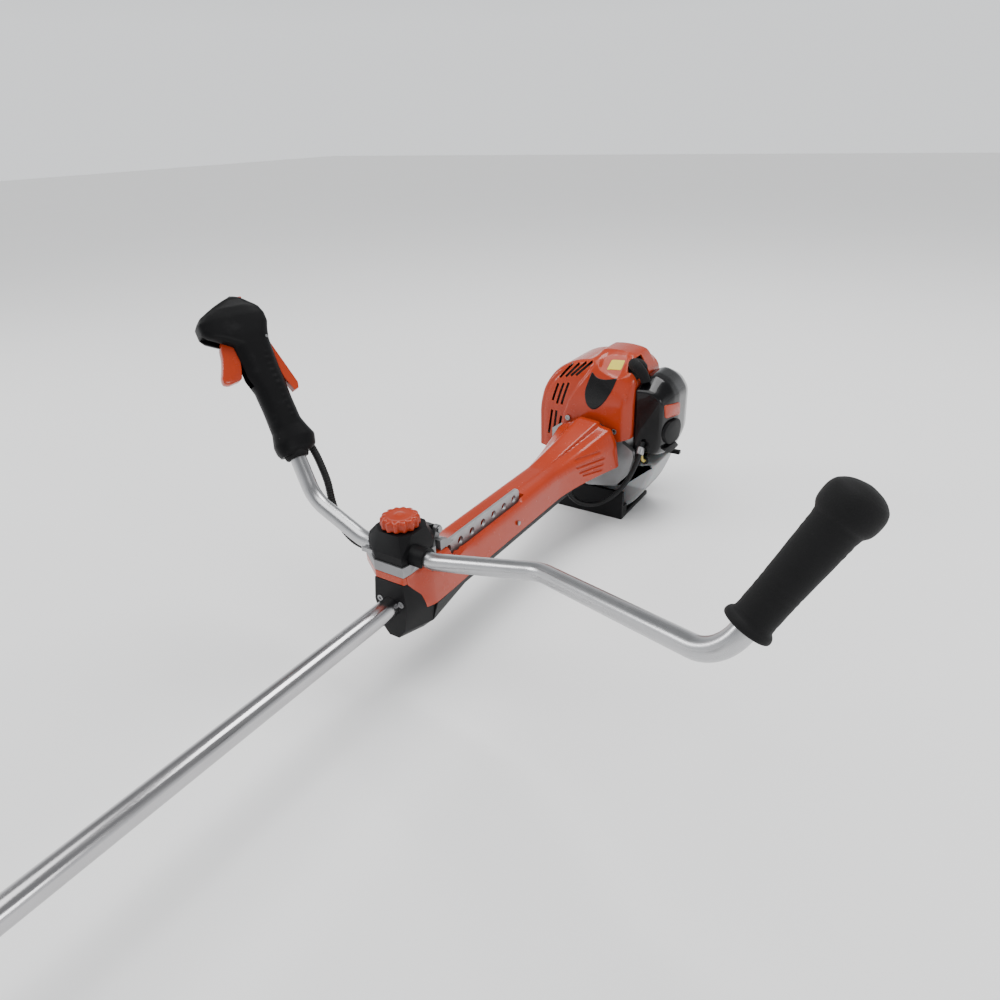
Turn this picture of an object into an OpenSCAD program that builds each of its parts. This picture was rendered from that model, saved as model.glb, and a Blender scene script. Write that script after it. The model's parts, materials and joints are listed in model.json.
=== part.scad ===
// Petrol brushcutter with a bull-horn handlebar and a trimmer head.
// Frame: origin on the ground under the engine foot's centre, +Z up,
// +Y along the drive tube towards the engine, +X towards the plain grip.

/* [Overall] */
// Height of the drive tube's axis above the ground
axis_h = 130; // [128:1:150]
// Length of the drive tube
tube_len = 1490; // [1200:10:1800]

/* [Drive line] */
// Outer diameter of the drive tube
tube_d = 28; // [26:0.5:34]
// Wall of the drive tube
tube_wall = 1.5; // [1:0.1:2.5]
// Diameter of the drive shaft
shaft_d = 8; // [7:0.5:10]
// Teeth on the pinion
pinion_teeth = 13; // [11:1:15]
// Teeth on the output gear
gear_teeth = 20; // [18:1:24]

/* [Cutting head] */
// Tilt of the head's axis away from straight down
head_tilt = 25; // [20:1:30]
// Diameter of the trimmer head
head_d = 120; // [100:2:144]
// Diameter of the output shaft
output_d = 12; // [10:1:14]
// Outer radius of the guard
guard_r = 165; // [138:1:198]
// Depth of the guard's skirt
skirt_depth = 40; // [30:1:48]
// Travel of the bump knob
bump_travel = 5; // [3:0.5:6]

/* [Handlebar] */
// Diameter of the handlebar tube
bar_d = 22; // [18:0.5:26]
// Wall of the handlebar tube
bar_wall = 2; // [1.5:0.1:3]
// Diameter of the plain grip at its flange end
grip_d = 35; // [31:1:42]
// Diameter of the clamp knob
knob_d = 54; // [44:1:60]
// Diameter of the clamp stud
stud_d = 8; // [6:1:9]

/* [Housing] */
// Pitch of the holes in the carrying strip
hole_pitch = 28.5; // [24:0.5:30]
// Diameter of the holes in the carrying strip
hole_d = 12; // [9:0.5:15]
// Thickness of the carrying strip
strip_t = 4; // [3:0.5:6]
// Outer radius of the bell at the engine
bell_r = 72; // [68:1:80]

/* [Engine] */
// Diameter of the cylinder's bore
bore_d = 44; // [38:1:50]
// Diameter of the flywheel
flywheel_d = 104; // [90:1:112]
// Diameter of the clutch drum
drum_d = 78; // [70:1:88]
// Diameter of the filler opening of the tank
filler_d = 34; // [28:1:40]

/* [Hidden] */
$fn = 48;

// Clearances: a running fit, a gap between covers, a gap to a moving part
run = 0.05;
gap = 0.3;
air = 1;

// Stations along the drive tube, from the front face of the boot
foot_y = 640;
tube_back = 527;
tube_front = tube_back - tube_len;
gear_y = tube_front - 38;
drum_y = tube_back + 3;
bell_y = 560;
cover_front = 574;

tube_r = tube_d / 2;
tube_in = tube_r - tube_wall;
shaft_r = shaft_d / 2;
output_r = output_d / 2;
bar_r = bar_d / 2;
stud_r = stud_d / 2;
bearing_wall = 6;

// Bevel gears: the apex lies where the two axes cross
shaft_angle = 90 + head_tilt;
pinion_cone = atan2(sin(shaft_angle), gear_teeth / pinion_teeth + cos(shaft_angle));
gear_cone = shaft_angle - pinion_cone;
cone_far = 20;
cone_near = 13;
mesh_gap = 0.4;

// Clamp, bar and knob
bar_y = 26;
bar_z = 70;
stud_x = -7;
stud_y = bar_y + bar_r + stud_r + 1;
clamp_low = 50;
clamp_split = 64;
clamp_top = 97;

// Handlebar's corners and the radius of each bend
bar_pts = [[-255, 65, 280], [-146, 32, 104], [-58, bar_y, bar_z], [58, bar_y, bar_z],
    [212, 17, 110], [440, -100, 166], [508, -43, 294]];
bar_bends = [0, 60, 60, 60, 60, 45, 0];

// Throttle grip frame: along the bar's last straight, forward is +Y
throttle_base = bar_pts[1];
throttle_axis = unit(bar_pts[0] - bar_pts[1]);
throttle_end = norm(bar_pts[0] - bar_pts[1]);

// Strip
strip_x = 16;
strip_y0 = 105.5;
strip_z = 35.5;

// Engine
crank_y = 640;

function unit(v) = v / norm(v);
function turn_to(v) = [0, acos(v[2] / norm(v)), atan2(v[1], v[0])];

module on_tool() { translate([0, -foot_y, axis_h]) children(); }
module along_y(y) { translate([0, y, 0]) rotate([-90, 0, 0]) children(); }
module along_x(p) { translate(p) rotate([0, 90, 0]) children(); }
module on_head() { on_tool() translate([0, gear_y, 0]) rotate([-head_tilt, 0, 0]) children(); }
module down(d) { translate([0, 0, -d]) rotate([180, 0, 0]) children(); }
module ring(r_out, r_in, h) {
    linear_extrude(h) difference() {
        circle(r_out);
        circle(r_in);
    }
}
module box(a, b) { translate(a) cube(b - a); }
module on_throttle() {
    on_tool() translate(throttle_base) rotate(turn_to(throttle_axis)) children();
}
// A slice of a profile drawn looking along +Y, for hulls and prisms
module slab_y(y, t) { translate([0, y + t, 0]) rotate([90, 0, 0]) linear_extrude(t) children(); }

// ---------------------------------------------------------------- drive tube
module drive_tube() {
    color("silver") on_tool() along_y(tube_front) ring(tube_r, tube_in, tube_len);
}
bush_count = 5;
module tube_bushes() {
    step = tube_len / bush_count;
    color("dimgray") on_tool() for (i = [0:bush_count - 1])
        along_y(tube_front + step * (i + 0.4)) ring(tube_in, shaft_r + run, 22);
}
shaft_front = gear_y + 9;
shaft_back = drum_y + 4;
module drive_shaft() {
    color("gray") on_tool() along_y(shaft_front) cylinder(r = shaft_r, h = shaft_back - shaft_front);
}

// ---------------------------------------------------------------- gearbox
case_r = 25;
sleeve_r = tube_r + 6;
pinion_seat = 24;
tube_seat = 38;
gear_back = cone_near * cos(gear_cone) + mesh_gap;
gear_end = cone_far * cos(gear_cone) + mesh_gap + 6;
out_bearing = gear_end + 0.8;
case_end = out_bearing + 20;
module gear_case() {
    cavity_r = cone_far * sin(gear_cone) + air;
    color("silver") difference() {
        union() {
            on_tool() translate([0, gear_y, 0]) sphere(case_r + 1);
            on_tool() along_y(gear_y) cylinder(r = sleeve_r, h = 95);
            on_tool() along_y(gear_y) cylinder(r1 = case_r, r2 = sleeve_r, h = 42);
            on_head() down(0) cylinder(r = case_r, h = case_end);
            on_tool() box([-5, gear_y + 66, 0], [5, gear_y + 94, sleeve_r + 9]);
        }
        on_tool() along_y(gear_y + tube_seat) cylinder(r = tube_r, h = 70);
        on_tool() along_y(gear_y + pinion_seat) cylinder(r = shaft_r + bearing_wall, h = 20);
        on_tool() along_y(gear_y + 5) cylinder(r = cone_far * sin(pinion_cone) + air, h = 20);
        on_head() down(1) cylinder(r = cavity_r, h = out_bearing - 1);
        on_head() down(out_bearing - 1) cylinder(r = output_r + bearing_wall + 1, h = 30);
        on_tool() box([-1, gear_y + 60, sleeve_r - 9], [1, gear_y + 96, sleeve_r + 10]);
        on_tool() along_x([-9, gear_y + 80, sleeve_r + 3.5]) cylinder(r = 2.6, h = 18);
    }
}
module cap_bolt(r, head_r, head_h, len) {
    cylinder(r = r, h = len);
    translate([0, 0, len]) difference() {
        cylinder(r = head_r, h = head_h);
        translate([0, 0, head_h / 2]) cylinder(r = head_r * 0.5, h = head_h, $fn = 6);
    }
}
module head_bolts() {
    color("gray") {
        on_tool() along_x([-5, gear_y + 80, sleeve_r + 3.5]) cap_bolt(2.5, 4.5, 4, 10.1);
        for (s = [-1, 1]) on_tool() translate([s * 22, gear_y + 72, -sleeve_r - 4.9])
            rotate([180, 0, 0]) translate([0, 0, -4.9]) cap_bolt(2.5, 4.5, 4, 10);
    }
}
// A bevel gear's toothed ring, apex at the origin and widening along +Z
module bevel(cone, teeth, near, far, tail, hole) {
    difference() {
        union() {
            translate([0, 0, near * cos(cone)])
                cylinder(r1 = near * sin(cone), r2 = far * sin(cone), h = (far - near) * cos(cone));
            translate([0, 0, far * cos(cone)]) cylinder(r = far * sin(cone), h = tail);
        }
        for (i = [0:teeth - 1]) rotate([0, 0, i * 360 / teeth]) rotate([0, cone, 0])
            translate([-1.2, -0.7, near - 3]) cube([2.4, 1.4, far - near + 3 + tail]);
        translate([0, 0, -1]) cylinder(r = hole, h = far + tail + 10);
    }
}
module pinion_gear() {
    color("gray") on_tool() along_y(gear_y + mesh_gap)
        bevel(pinion_cone - 1, pinion_teeth, cone_near, cone_far, 4, shaft_r);
}
module output_gear() {
    color("gray") on_head() down(mesh_gap)
        bevel(gear_cone - 1, gear_teeth, cone_near, cone_far, 6, output_r);
}
spool_top = case_end + 18;
spool_low = spool_top + 33;
shaft_low = spool_low - bump_travel - air;
module output_shaft() {
    color("silver") on_head() {
        down(gear_back + 2) cylinder(r = output_r, h = step_z - gear_back - 2);
        down(step_z) cylinder(r = output_r - 1, h = shaft_low - step_z);
    }
}
module gear_bearings() {
    color("dimgray") {
        on_tool() along_y(gear_y + pinion_seat) ring(shaft_r + bearing_wall, shaft_r + run, 12);
        on_head() down(out_bearing) ring(output_r + bearing_wall + 1, output_r + run, 16);
    }
}
plate_top = case_end + air;
step_z = plate_top + 5;
head_top = plate_top + 7;
module thrust_plate() {
    color("silver") on_head() down(plate_top) difference() {
        union() {
            cylinder(r = case_r - 1, h = 3);
            translate([0, 0, 3]) cylinder(r = 16, h = 4);
        }
        translate([0, 0, -1]) cylinder(r = output_r, h = step_z - plate_top + 1);
        cylinder(r = output_r - 1, h = 8);
    }
}

// ---------------------------------------------------------------- guard
guard_top = 25;
guard_t = 3;
guard_span = 130;
module guard() {
    color("black") on_head() rotate([0, 0, 90 - guard_span / 2]) {
        rotate_extrude(angle = guard_span, $fn = 96) {
            translate([case_r + 2, -guard_top - guard_t]) square([guard_r - case_r - 2, guard_t]);
            translate([guard_r - guard_t, -guard_top - guard_t - skirt_depth])
                square([guard_t, skirt_depth + 1]);
            translate([guard_r - 45, -guard_top - guard_t - 8]) square([guard_t, 9]);
        }
    }
}
module guard_bracket() {
    band_y = gear_y + 60;
    color("dimgray") difference() {
        union() {
            on_tool() along_y(band_y) ring(sleeve_r + 4, sleeve_r, 24);
            on_tool() box([-30, band_y, -sleeve_r - 9], [30, band_y + 24, -sleeve_r]);
            on_tool() box([-17, band_y, -90], [17, band_y + 24, -sleeve_r - 2]);
        }
        on_tool() along_y(band_y - 1) cylinder(r = sleeve_r, h = 26);
        on_head() translate([-100, -100, -200 - guard_top]) cube([200, 400, 200]);
        on_tool() for (s = [-1, 1]) translate([s * 22, gear_y + 72, -40]) cylinder(r = 2.6, h = 40);
        on_tool() box([-50, band_y - 1, sleeve_r - 6], [50, band_y + 25, sleeve_r + 5]);
    }
}
module line_cutter() {
    edge = 90 - guard_span / 2;
    color("silver") on_head() rotate([0, 0, edge])
        translate([guard_r - guard_t - 24.5, 6, -guard_top - guard_t - 22]) cube([24, 2, 22]);
}

// ---------------------------------------------------------------- trimmer head
head_r = head_d / 2;
head_wall = 3;
eye_z = spool_top + 14;
eye_r = 6;
cover_top = spool_low + 4;
knob_r = 23;
module head_housing() {
    color("black") on_head() difference() {
        union() {
            down(head_top) rotate_extrude($fn = 96) polygon([[output_r - 1, 0], [head_r - 8, 0],
                [head_r, 8], [head_r, cover_top - head_top], [head_r - head_wall, cover_top - head_top],
                [head_r - head_wall, 9], [head_r - 9, 4], [output_r - 1, 4]]);
            for (s = [0, 180]) rotate([0, 0, s]) along_x([head_r - head_wall + 0.5, 0, -eye_z])
                cylinder(r = eye_r + 3, h = head_wall + 1.5);
        }
        along_x([-head_r - 5, 0, -eye_z]) cylinder(r = eye_r, h = head_d + 10);
    }
}
module line_eyelets() {
    color("silver") on_head() for (s = [0, 180]) rotate([0, 0, s])
        along_x([head_r - head_wall + 1, 0, -eye_z]) {
            ring(eye_r, 2, head_wall + 1);
            translate([0, 0, head_wall + 1]) ring(eye_r + 1.5, 2, 1.5);
        }
}
spool_r = head_r - 9;
post_gap = 0.06;
module head_spool() {
    color("dimgray") on_head() down(spool_top) rotate_extrude($fn = 72) {
        polygon([[output_r - 1 + post_gap, 0], [spool_r, 0], [spool_r, 3], [19, 3],
            [19, spool_low - spool_top - 3], [spool_r, spool_low - spool_top - 3],
            [spool_r, spool_low - spool_top], [output_r - 1 + post_gap, spool_low - spool_top]]);
    }
}
module spool_line() {
    color("orange") on_head() down(spool_top + 3) rotate_extrude($fn = 72)
        polygon([[19, 0], [spool_r - 6, 0], [spool_r - 5, 3], [spool_r - 6, 8], [spool_r - 5, 14],
            [spool_r - 6, 20], [spool_r - 5, 24], [spool_r - 6, spool_low - spool_top - 6],
            [19, spool_low - spool_top - 6]]);
}
module bump_knob() {
    color("orange") on_head() down(spool_low) difference() {
        rotate_extrude($fn = 72) polygon([[0, 0], [knob_r, 0], [knob_r, 16], [knob_r - 3, 22],
            [knob_r - 8, 25], [0, 25]]);
        for (i = [0:8]) rotate([0, 0, i * 40]) translate([knob_r + 1.5, 0, 12]) cylinder(r = 3, h = 20);
    }
}
module head_cover() {
    color("black") on_head() down(cover_top) rotate_extrude($fn = 96)
        polygon([[knob_r + air, 0], [head_r, 0], [head_r, 4], [head_r - 4, 7], [knob_r + 4, 7],
            [knob_r + air, 5]]);
}

// ---------------------------------------------------------------- housing round the tube
module boot_front() { polygon([[-22, 38], [22, 38], [26, 4], [19, -34], [8, -48], [-8, -48],
    [-19, -34], [-26, 4]]); }
module boot_back() { polygon([[-34, 38], [34, 38], [35, -4], [26, -44], [10, -60], [-10, -60],
    [-26, -44], [-35, -4]]); }
boot_y = 50;
boot_screw_x = tube_r * 17 / 14;
boot_top = 38;
module front_boot() {
    color("black") on_tool() difference() {
        hull() {
            slab_y(0, 1) boot_front();
            slab_y(boot_y - 1, 1) boot_back();
        }
        along_y(-1) cylinder(r = tube_r, h = boot_y + 2);
        for (s = [-1, 1]) along_y(-1) translate([s * boot_screw_x, -7, 0]) cylinder(r = 2.5, h = 20);
        for (s = [-1, 1]) along_y(-1) translate([s * boot_screw_x, -7, 0]) cylinder(r = 5, h = 4);
    }
}
split_z = -12;
wall = 3;
module top_outline(d) { polygon([[-35 + d, split_z], [-32 + d, 24 - d / 2], [-23 + d / 2, 34 - d],
    [23 - d / 2, 34 - d], [32 - d, 24 - d / 2], [35 - d, split_z]]); }
module low_outline(d) { polygon([[-35 + d, split_z - gap], [-31 + d, -24], [-16, -36 + d],
    [16, -36 + d], [31 - d, -24], [35 - d, split_z - gap]]); }
flare_y = 430;
// The clamp's outline seen from above: a square corner in front on the right, a long slope on the left
module clamp_outline(d) { polygon([[-20, d], [26 - d, d], [28 - d, 12], [28 - d, 66 - d], [16, 80 - d],
    [-40, 80 - d], [-58 + d, 64], [-58 + d, 26]]); }
module tube_housing() {
    color("orangered") on_tool() difference() {
        union() {
            slab_y(boot_y + gap, flare_y - boot_y - gap) top_outline(0);
            hull() {
                slab_y(flare_y - 1, 1) top_outline(0);
                along_y(bell_y - 8) cylinder(r = bell_r, h = 8, $fn = 32);
            }
            translate([0, 0, boot_top + gap]) linear_extrude(clamp_low - gap - boot_top - gap)
                clamp_outline(0);
            hull() {
                box([-56, 30, boot_top + 1], [26, 78, clamp_low - gap]);
                slab_y(boot_y + gap, 1) polygon([[-38, split_z], [38, split_z], [38, 34], [-38, 34]]);
                slab_y(150, 1) top_outline(0);
            }
        }
        slab_y(boot_y - 10, flare_y - boot_y + 10) top_outline(wall);
        slab_y(boot_y - 10, flare_y - boot_y + 10) translate([0, 2 * split_z])
            mirror([0, 1]) top_outline(wall);
        box([-60, -5, -70], [60, boot_y + gap, boot_top + gap]);
        hull() {
            slab_y(flare_y - 1.1, 1) top_outline(wall);
            along_y(bell_y - 9) cylinder(r = bell_r - wall, h = 10, $fn = 32);
        }
        translate([0, 0, -100]) box([-100, boot_y, 0], [100, flare_y + 20, 100 + split_z]);
        box([strip_x - 7, strip_y0 - 18, 20], [strip_x + 6, strip_end + 8, 60]);
        box([strip_x + 5, strip_y0 - 10, strip_z - hole_d / 2 - 1], [50, strip_end - 6, 60]);
        along_x(conduit_pts[len(conduit_pts) - 1] - [20, 0, 0]) cylinder(r = conduit_r + 0.8, h = 30);
        translate(engine_conduit_pts[0] - [0, 0, 30]) cylinder(r = conduit_r + 1.2, h = 30);
    }
    color("orangered") on_tool() {
        box([strip_x - 7, strip_y0 - 18, 17], [strip_x + 6, strip_end + 8, 20]);
    }
}
strip_end = strip_y0 + 6 * hole_pitch + 16;
module under_housing() {
    color("black") on_tool() difference() {
        union() {
            slab_y(120, flare_y + 20 - 120) low_outline(0);
            hull() {
                slab_y(boot_y + gap, 1) polygon([[-37, split_z - gap], [-27, -44], [-10, -59],
                    [10, -59], [27, -44], [37, split_z - gap]]);
                slab_y(120, 1) low_outline(0);
            }
        }
        slab_y(boot_y - 1, flare_y + 22 - boot_y) low_outline(wall);
        slab_y(boot_y - 1, flare_y + 22 - boot_y) translate([0, 2 * split_z - 2 * gap])
            mirror([0, 1]) low_outline(wall);
        hull() {
            slab_y(flare_y - 1.1, 1) top_outline(-gap);
            along_y(bell_y - 9) cylinder(r = bell_r + gap, h = 10, $fn = 32);
        }
    }
}
module carrying_strip() {
    color("silver") on_tool() difference() {
        union() {
            box([strip_x - strip_t / 2, strip_y0 - 16, 20], [strip_x + strip_t / 2, strip_end - 10, 49]);
            box([strip_x - strip_t / 2, strip_end - 12, 20], [strip_x + strip_t / 2, strip_end, 39]);
            along_x([strip_x - strip_t / 2, strip_end - 10, 39]) cylinder(r = 10, h = strip_t);
        }
        for (i = [0:6]) along_x([strip_x - 5, strip_y0 + i * hole_pitch, strip_z])
            cylinder(r = hole_d / 2, h = 10);
    }
}
cover_screw_x = [-43, 50];
cover_screw_z = [58, 47];
module cover_screws() {
    color("silver") on_tool() {
        for (s = [-1, 1]) along_y(17) rotate([180, 0, 0]) translate([s * boot_screw_x, 7, 0])
            cap_bolt(2.4, 4.4, 3.6, 14);
        for (i = [0, 1]) translate([cover_screw_x[i], cover_front - gap, cover_screw_z[i]])
            rotate([90, 0, 0]) difference() {
                cylinder(r = 5, h = 3);
                translate([0, 0, 1.5]) cylinder(r = 2.5, h = 3, $fn = 6);
            }
        along_x([34.8, 262, 5]) cylinder(r = 3.5, h = 2);
    }
}

// ---------------------------------------------------------------- clamp
cap_back = 78;
module clamp_base() {
    color("gray") on_tool() difference() {
        union() {
            translate([0, 0, clamp_low]) linear_extrude(clamp_split - clamp_low)
                clamp_outline(0);
            box([-48, bar_y - 17, clamp_split], [24, stud_y + stud_r + 5, bar_z]);
            hull() {
                box([-6, 79, clamp_low], [26, 85, clamp_split]);
                box([8, 104, clamp_low - 1.4], [24, 110, clamp_low]);
            }
            for (s = [-16, 10]) hull() {
                box([s, cap_back + 0.4, clamp_low], [s + 6, 80, clamp_split]);
                along_x([s, cap_back + 12, clamp_split + 10]) cylinder(r = 6, h = 6, $fn = 32);
            }
        }
        along_x([-60, bar_y, bar_z]) cylinder(r = bar_r + run, h = 120);
        along_x([-60, bar_y, bar_z]) cylinder(r = bar_r + 3, h = 14);
        translate([stud_x, stud_y, 0]) cylinder(r = stud_r, h = 100);
        along_x([-20, cap_back + 12, clamp_split + 10]) cylinder(r = 2.5, h = 60);
        box([strip_x - strip_t / 2 - gap, strip_y0 - 16 - gap, 0], [strip_x + strip_t / 2 + gap, 120, 60]);
    }
}
module clamp_cap() {
    color("black") on_tool() difference() {
        union() {
            hull() {
                translate([0, 0, clamp_split + gap]) linear_extrude(12)
                    clamp_outline(2);
                translate([0, 0, clamp_top - 2]) linear_extrude(2)
                    polygon([[-22, 16], [10, 16], [22, 28], [22, 58], [10, 70], [-24, 70], [-37, 58],
                        [-37, 30]]);
            }
            hull() {
                box([-9, cap_back - 6, clamp_split + 6], [9, cap_back, clamp_split + 20]);
                along_x([-9, cap_back + 12, clamp_split + 10]) cylinder(r = 5, h = 18, $fn = 32);
            }
            along_x([24, bar_y, bar_z]) cylinder(r = bar_r + 4, h = 22);
        }
        along_x([-60, bar_y, bar_z]) cylinder(r = bar_r + run, h = 130);
        along_x([-60, bar_y, bar_z]) cylinder(r = bar_r + 3, h = 14);
        box([-48.3, bar_y - 17.3, 0], [24.3, stud_y + stud_r + 5.3, bar_z + gap]);
        box([-60, bar_y - bar_r - run, 0], [60, bar_y + bar_r + run, bar_z]);
        box([-60, -10, 0], [60, 110, clamp_split + gap]);
        translate([stud_x, stud_y, 0]) cylinder(r = stud_r + gap, h = 100);
        along_x([-20, cap_back + 12, clamp_split + 10]) cylinder(r = 2.5, h = 60);
    }
}
module clamp_pin() {
    color("silver") on_tool() along_x([-17, cap_back + 12, clamp_split + 10]) {
        cylinder(r = 2.5, h = 35);
        translate([0, 0, -3]) cylinder(r = 4.5, h = 3.9);
        translate([0, 0, 33.1]) cylinder(r = 4.5, h = 3);
    }
}
knob_low = clamp_top + gap;
module clamp_knob() {
    color("orangered") on_tool() translate([stud_x, stud_y, knob_low]) {
        difference() {
            union() {
                cylinder(r = knob_d / 2 - 1, h = 12);
                translate([0, 0, 12]) cylinder(r1 = knob_d / 2 - 1, r2 = knob_d / 2 - 7, h = 4);
            }
            for (i = [0:13]) rotate([0, 0, i * 360 / 14]) translate([knob_d / 2 + 1.4, 0, -1])
                cylinder(r = 4.2, h = 20);
            translate([0, 0, -1]) cylinder(r = stud_r + gap, h = 9);
        }
    }
    color("silver") on_tool() translate([stud_x, stud_y, clamp_low + 6])
        cylinder(r = stud_r - run, h = knob_low + 8 - clamp_low - 6);
}

// ---------------------------------------------------------------- handlebar
function trim(i) = bar_bends[i] * tan(acos(unit(bar_pts[i] - bar_pts[i - 1])
    * unit(bar_pts[i + 1] - bar_pts[i])) / 2);
bar_last = len(bar_pts) - 1;
function cut(i) = i == 0 || i == bar_last ? 0 : trim(i);
// Points round the bend at corner i, from the end of one straight to the start of the next
bend_steps = 6;
function bend_points(i) = let (u = unit(bar_pts[i] - bar_pts[i - 1]),
    v = unit(bar_pts[i + 1] - bar_pts[i]), inward = unit(v - u * (u * v)), total = acos(u * v),
    centre = bar_pts[i] - u * trim(i) + inward * bar_bends[i])
    [for (k = [0:bend_steps]) let (t = total * k / bend_steps)
        centre + bar_bends[i] * (u * sin(t) - inward * cos(t))];
function joined(i, last) = i > last ? [] : concat(bend_points(i), joined(i + 1, last));
bar_lap = 4;
bar_skin = 0.02;
module bar_straight(i, r, lap) {
    a = bar_pts[i];
    b = bar_pts[i + 1];
    u = unit(b - a);
    translate(a + u * (cut(i) - lap[0])) rotate(turn_to(u))
        cylinder(r = r, h = norm(b - a) - cut(i) - cut(i + 1) + lap[0] + lap[1]);
}
// The bends between two exact straights, lapped a little into both of them
module bar_sweep(first, last, r) {
    u = unit(bar_pts[first] - bar_pts[first - 1]);
    v = unit(bar_pts[last + 1] - bar_pts[last]);
    arcs = joined(first, last);
    swept_tube(concat([arcs[0] - u * bar_lap], arcs, [arcs[len(arcs) - 1] + v * bar_lap]), r, 16);
}
module bar_solid(r, skin, over) {
    bar_straight(0, r, [over, 0]);
    bar_straight(2, r, [0, 0]);
    bar_straight(5, r, [0, 0]);
    bar_sweep(1, 2, r - skin);
    bar_sweep(3, 5, r - skin);
}
module handlebar_tube() {
    color("silver") on_tool() difference() {
        bar_solid(bar_r, bar_skin, 0);
        bar_solid(bar_r - bar_wall, -bar_skin, 3);
    }
}
grip_axis = unit(bar_pts[6] - bar_pts[5]);
grip_start = 34;
grip_len = norm(bar_pts[6] - bar_pts[5]) - grip_start;
module plain_grip() {
    r = grip_d / 2;
    color("black") on_tool() translate(bar_pts[5] + grip_axis * grip_start) rotate(turn_to(grip_axis))
        difference() {
            union() {
                cylinder(r = r + 3.5, h = 7);
                cylinder(r1 = r, r2 = r + 2.5, h = grip_len - 12);
                translate([0, 0, grip_len - 16]) rotate_extrude() polygon([[0, 0], [r + 2, 0],
                    [r + 7, 7], [r + 8, 15], [r + 7, 22], [r + 2, 30], [r - 6, 35], [0, 36]]);
            }
            translate([0, 0, -1]) cylinder(r = bar_r + run, h = grip_len + 1 + gap);
        }
}

// ---------------------------------------------------------------- throttle grip
// Side profile of the grip, forward is +X here and the bar runs along +Y
shell_low = 66;
function grip_profile() = [[23, shell_low], [25, 80], [20, 100], [20, 165], [23, 226], [50, 231],
    [71, 242], [71, 266], [-14, 290], [-34, 268], [-37, 250], [-24, 226], [-24, 165], [-24, 110],
    [-34, 86], [-30, shell_low + 4], [-22, shell_low]];
shell_half = 19;
module grip_block(x0, x1) {
    translate([x1, 0, 0]) rotate([90, 0, -90]) linear_extrude(x1 - x0)
        mirror([1, 0]) polygon(grip_profile());
}
module grip_half(side) {
    x0 = side > 0 ? gap / 2 : -shell_half;
    x1 = side > 0 ? shell_half : -gap / 2;
    color("black") on_throttle() difference() {
        intersection() {
            grip_block(x0, x1);
            union() {
                cylinder(r = 27, h = 232);
                box([-30, -42, 200], [30, 75, 300]);
                box([-30, -40, 0], [30, 40, 100]);
            }
        }
        translate([0, 0, 50]) cylinder(r = bar_r, h = throttle_end - 50 + gap);
        box([-7.4, 8, 172], [7.4, 80, 246]);
        box([-6.4, -50, 140], [6.4, -8, 238]);
        along_x([-40, trigger_y, trigger_z]) cylinder(r = 2, h = 80);
        along_x([-40, lock_y, lock_z]) cylinder(r = 2, h = 80);
        for (p = [[8, 275], [-16, 250], [-25, 82], [17, 90]])
            along_x([-40, p[0], p[1]]) cylinder(r = 1.6, h = 80);
        box([switch_x - 5.5, switch_y - 9, 262], [switch_x + 5.5, switch_y + 9, 300]);
        translate([0, -24, shell_low - 1]) cylinder(r = 5, h = 22);
    }
}
module throttle_shell_left() { grip_half(1); }
module throttle_shell_right() { grip_half(-1); }
trigger_y = 27;
trigger_z = 238;
module pin_x(y, z, r, half) { along_x([-half, y, z]) cylinder(r = r, h = 2 * half); }
module throttle_trigger() {
    color("orangered") on_throttle() difference() {
        union() {
            translate([6.5, 0, 0]) rotate([90, 0, -90]) linear_extrude(13) mirror([1, 0])
                polygon([[23, 243], [33, 243], [50, 228], [58, 208], [71, 186], [70, 180],
                    [62, 180], [40, 186], [30, 196], [23.5, 215]]);
            pin_x(trigger_y, trigger_z, 5, 6.5);
        }
        pin_x(trigger_y, trigger_z, 2 + run, 10);
    }
}
lock_y = -19;
lock_z = 228;
module lockout_lever() {
    color("orangered") on_throttle() difference() {
        union() {
            translate([5.5, 0, 0]) rotate([90, 0, -90]) linear_extrude(11) mirror([1, 0])
                polygon([[-15, 233], [-22, 233], [-25, 220], [-40, 160], [-38, 152], [-31, 150],
                    [-24, 170], [-16, 222]]);
            pin_x(lock_y, lock_z, 4.5, 5.5);
        }
        pin_x(lock_y, lock_z, 2 + run, 10);
    }
}
switch_x = 0;
switch_y = -6;
module stop_switch() {
    color("orangered") on_throttle() {
        box([switch_x - 5, switch_y - 5, 268], [switch_x + 5, switch_y + 5, 292]);
    }
}
module throttle_screws() {
    color("silver") on_throttle() {
        for (p = [[8, 275], [-16, 250], [-25, 82], [17, 90]]) along_x([-12, p[0], p[1]])
            cylinder(r = 1.6, h = 26);
        pin_x(trigger_y, trigger_z, 2, 16);
        pin_x(lock_y, lock_z, 2, 16);
    }
}

// ---------------------------------------------------------------- cables and hose
// A tube of constant radius swept along points chosen by hand
function tangent(p, i) = unit(p[min(i + 1, len(p) - 1)] - p[max(i - 1, 0)]);
function side_of(t) = unit(cross(t, abs(t[2]) < 0.8 ? [0, 0, 1] : [0, 1, 0]));
function blend_side(s, t) = unit(s - t * (s * t));
function sides(p, i) = i == 0 ? [side_of(tangent(p, 0))]
    : let (prev = sides(p, i - 1)) concat(prev, [blend_side(prev[i - 1], tangent(p, i))]);
module swept_tube(p, r, n) {
    s = sides(p, len(p) - 1);
    pts = [for (i = [0:len(p) - 1]) let (t = tangent(p, i), a = s[i], b = cross(t, a))
        for (k = [0:n - 1]) p[i] + a * r * cos(k * 360 / n) + b * r * sin(k * 360 / n)];
    last = (len(p) - 1) * n;
    faces = concat([[for (k = [0:n - 1]) k]], [[for (k = [n - 1:-1:0]) last + k]],
        [for (i = [0:len(p) - 2], k = [0:n - 1])
            [i * n + k, (i + 1) * n + k, (i + 1) * n + (k + 1) % n, i * n + (k + 1) % n]]);
    polyhedron(pts, faces);
}
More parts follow.
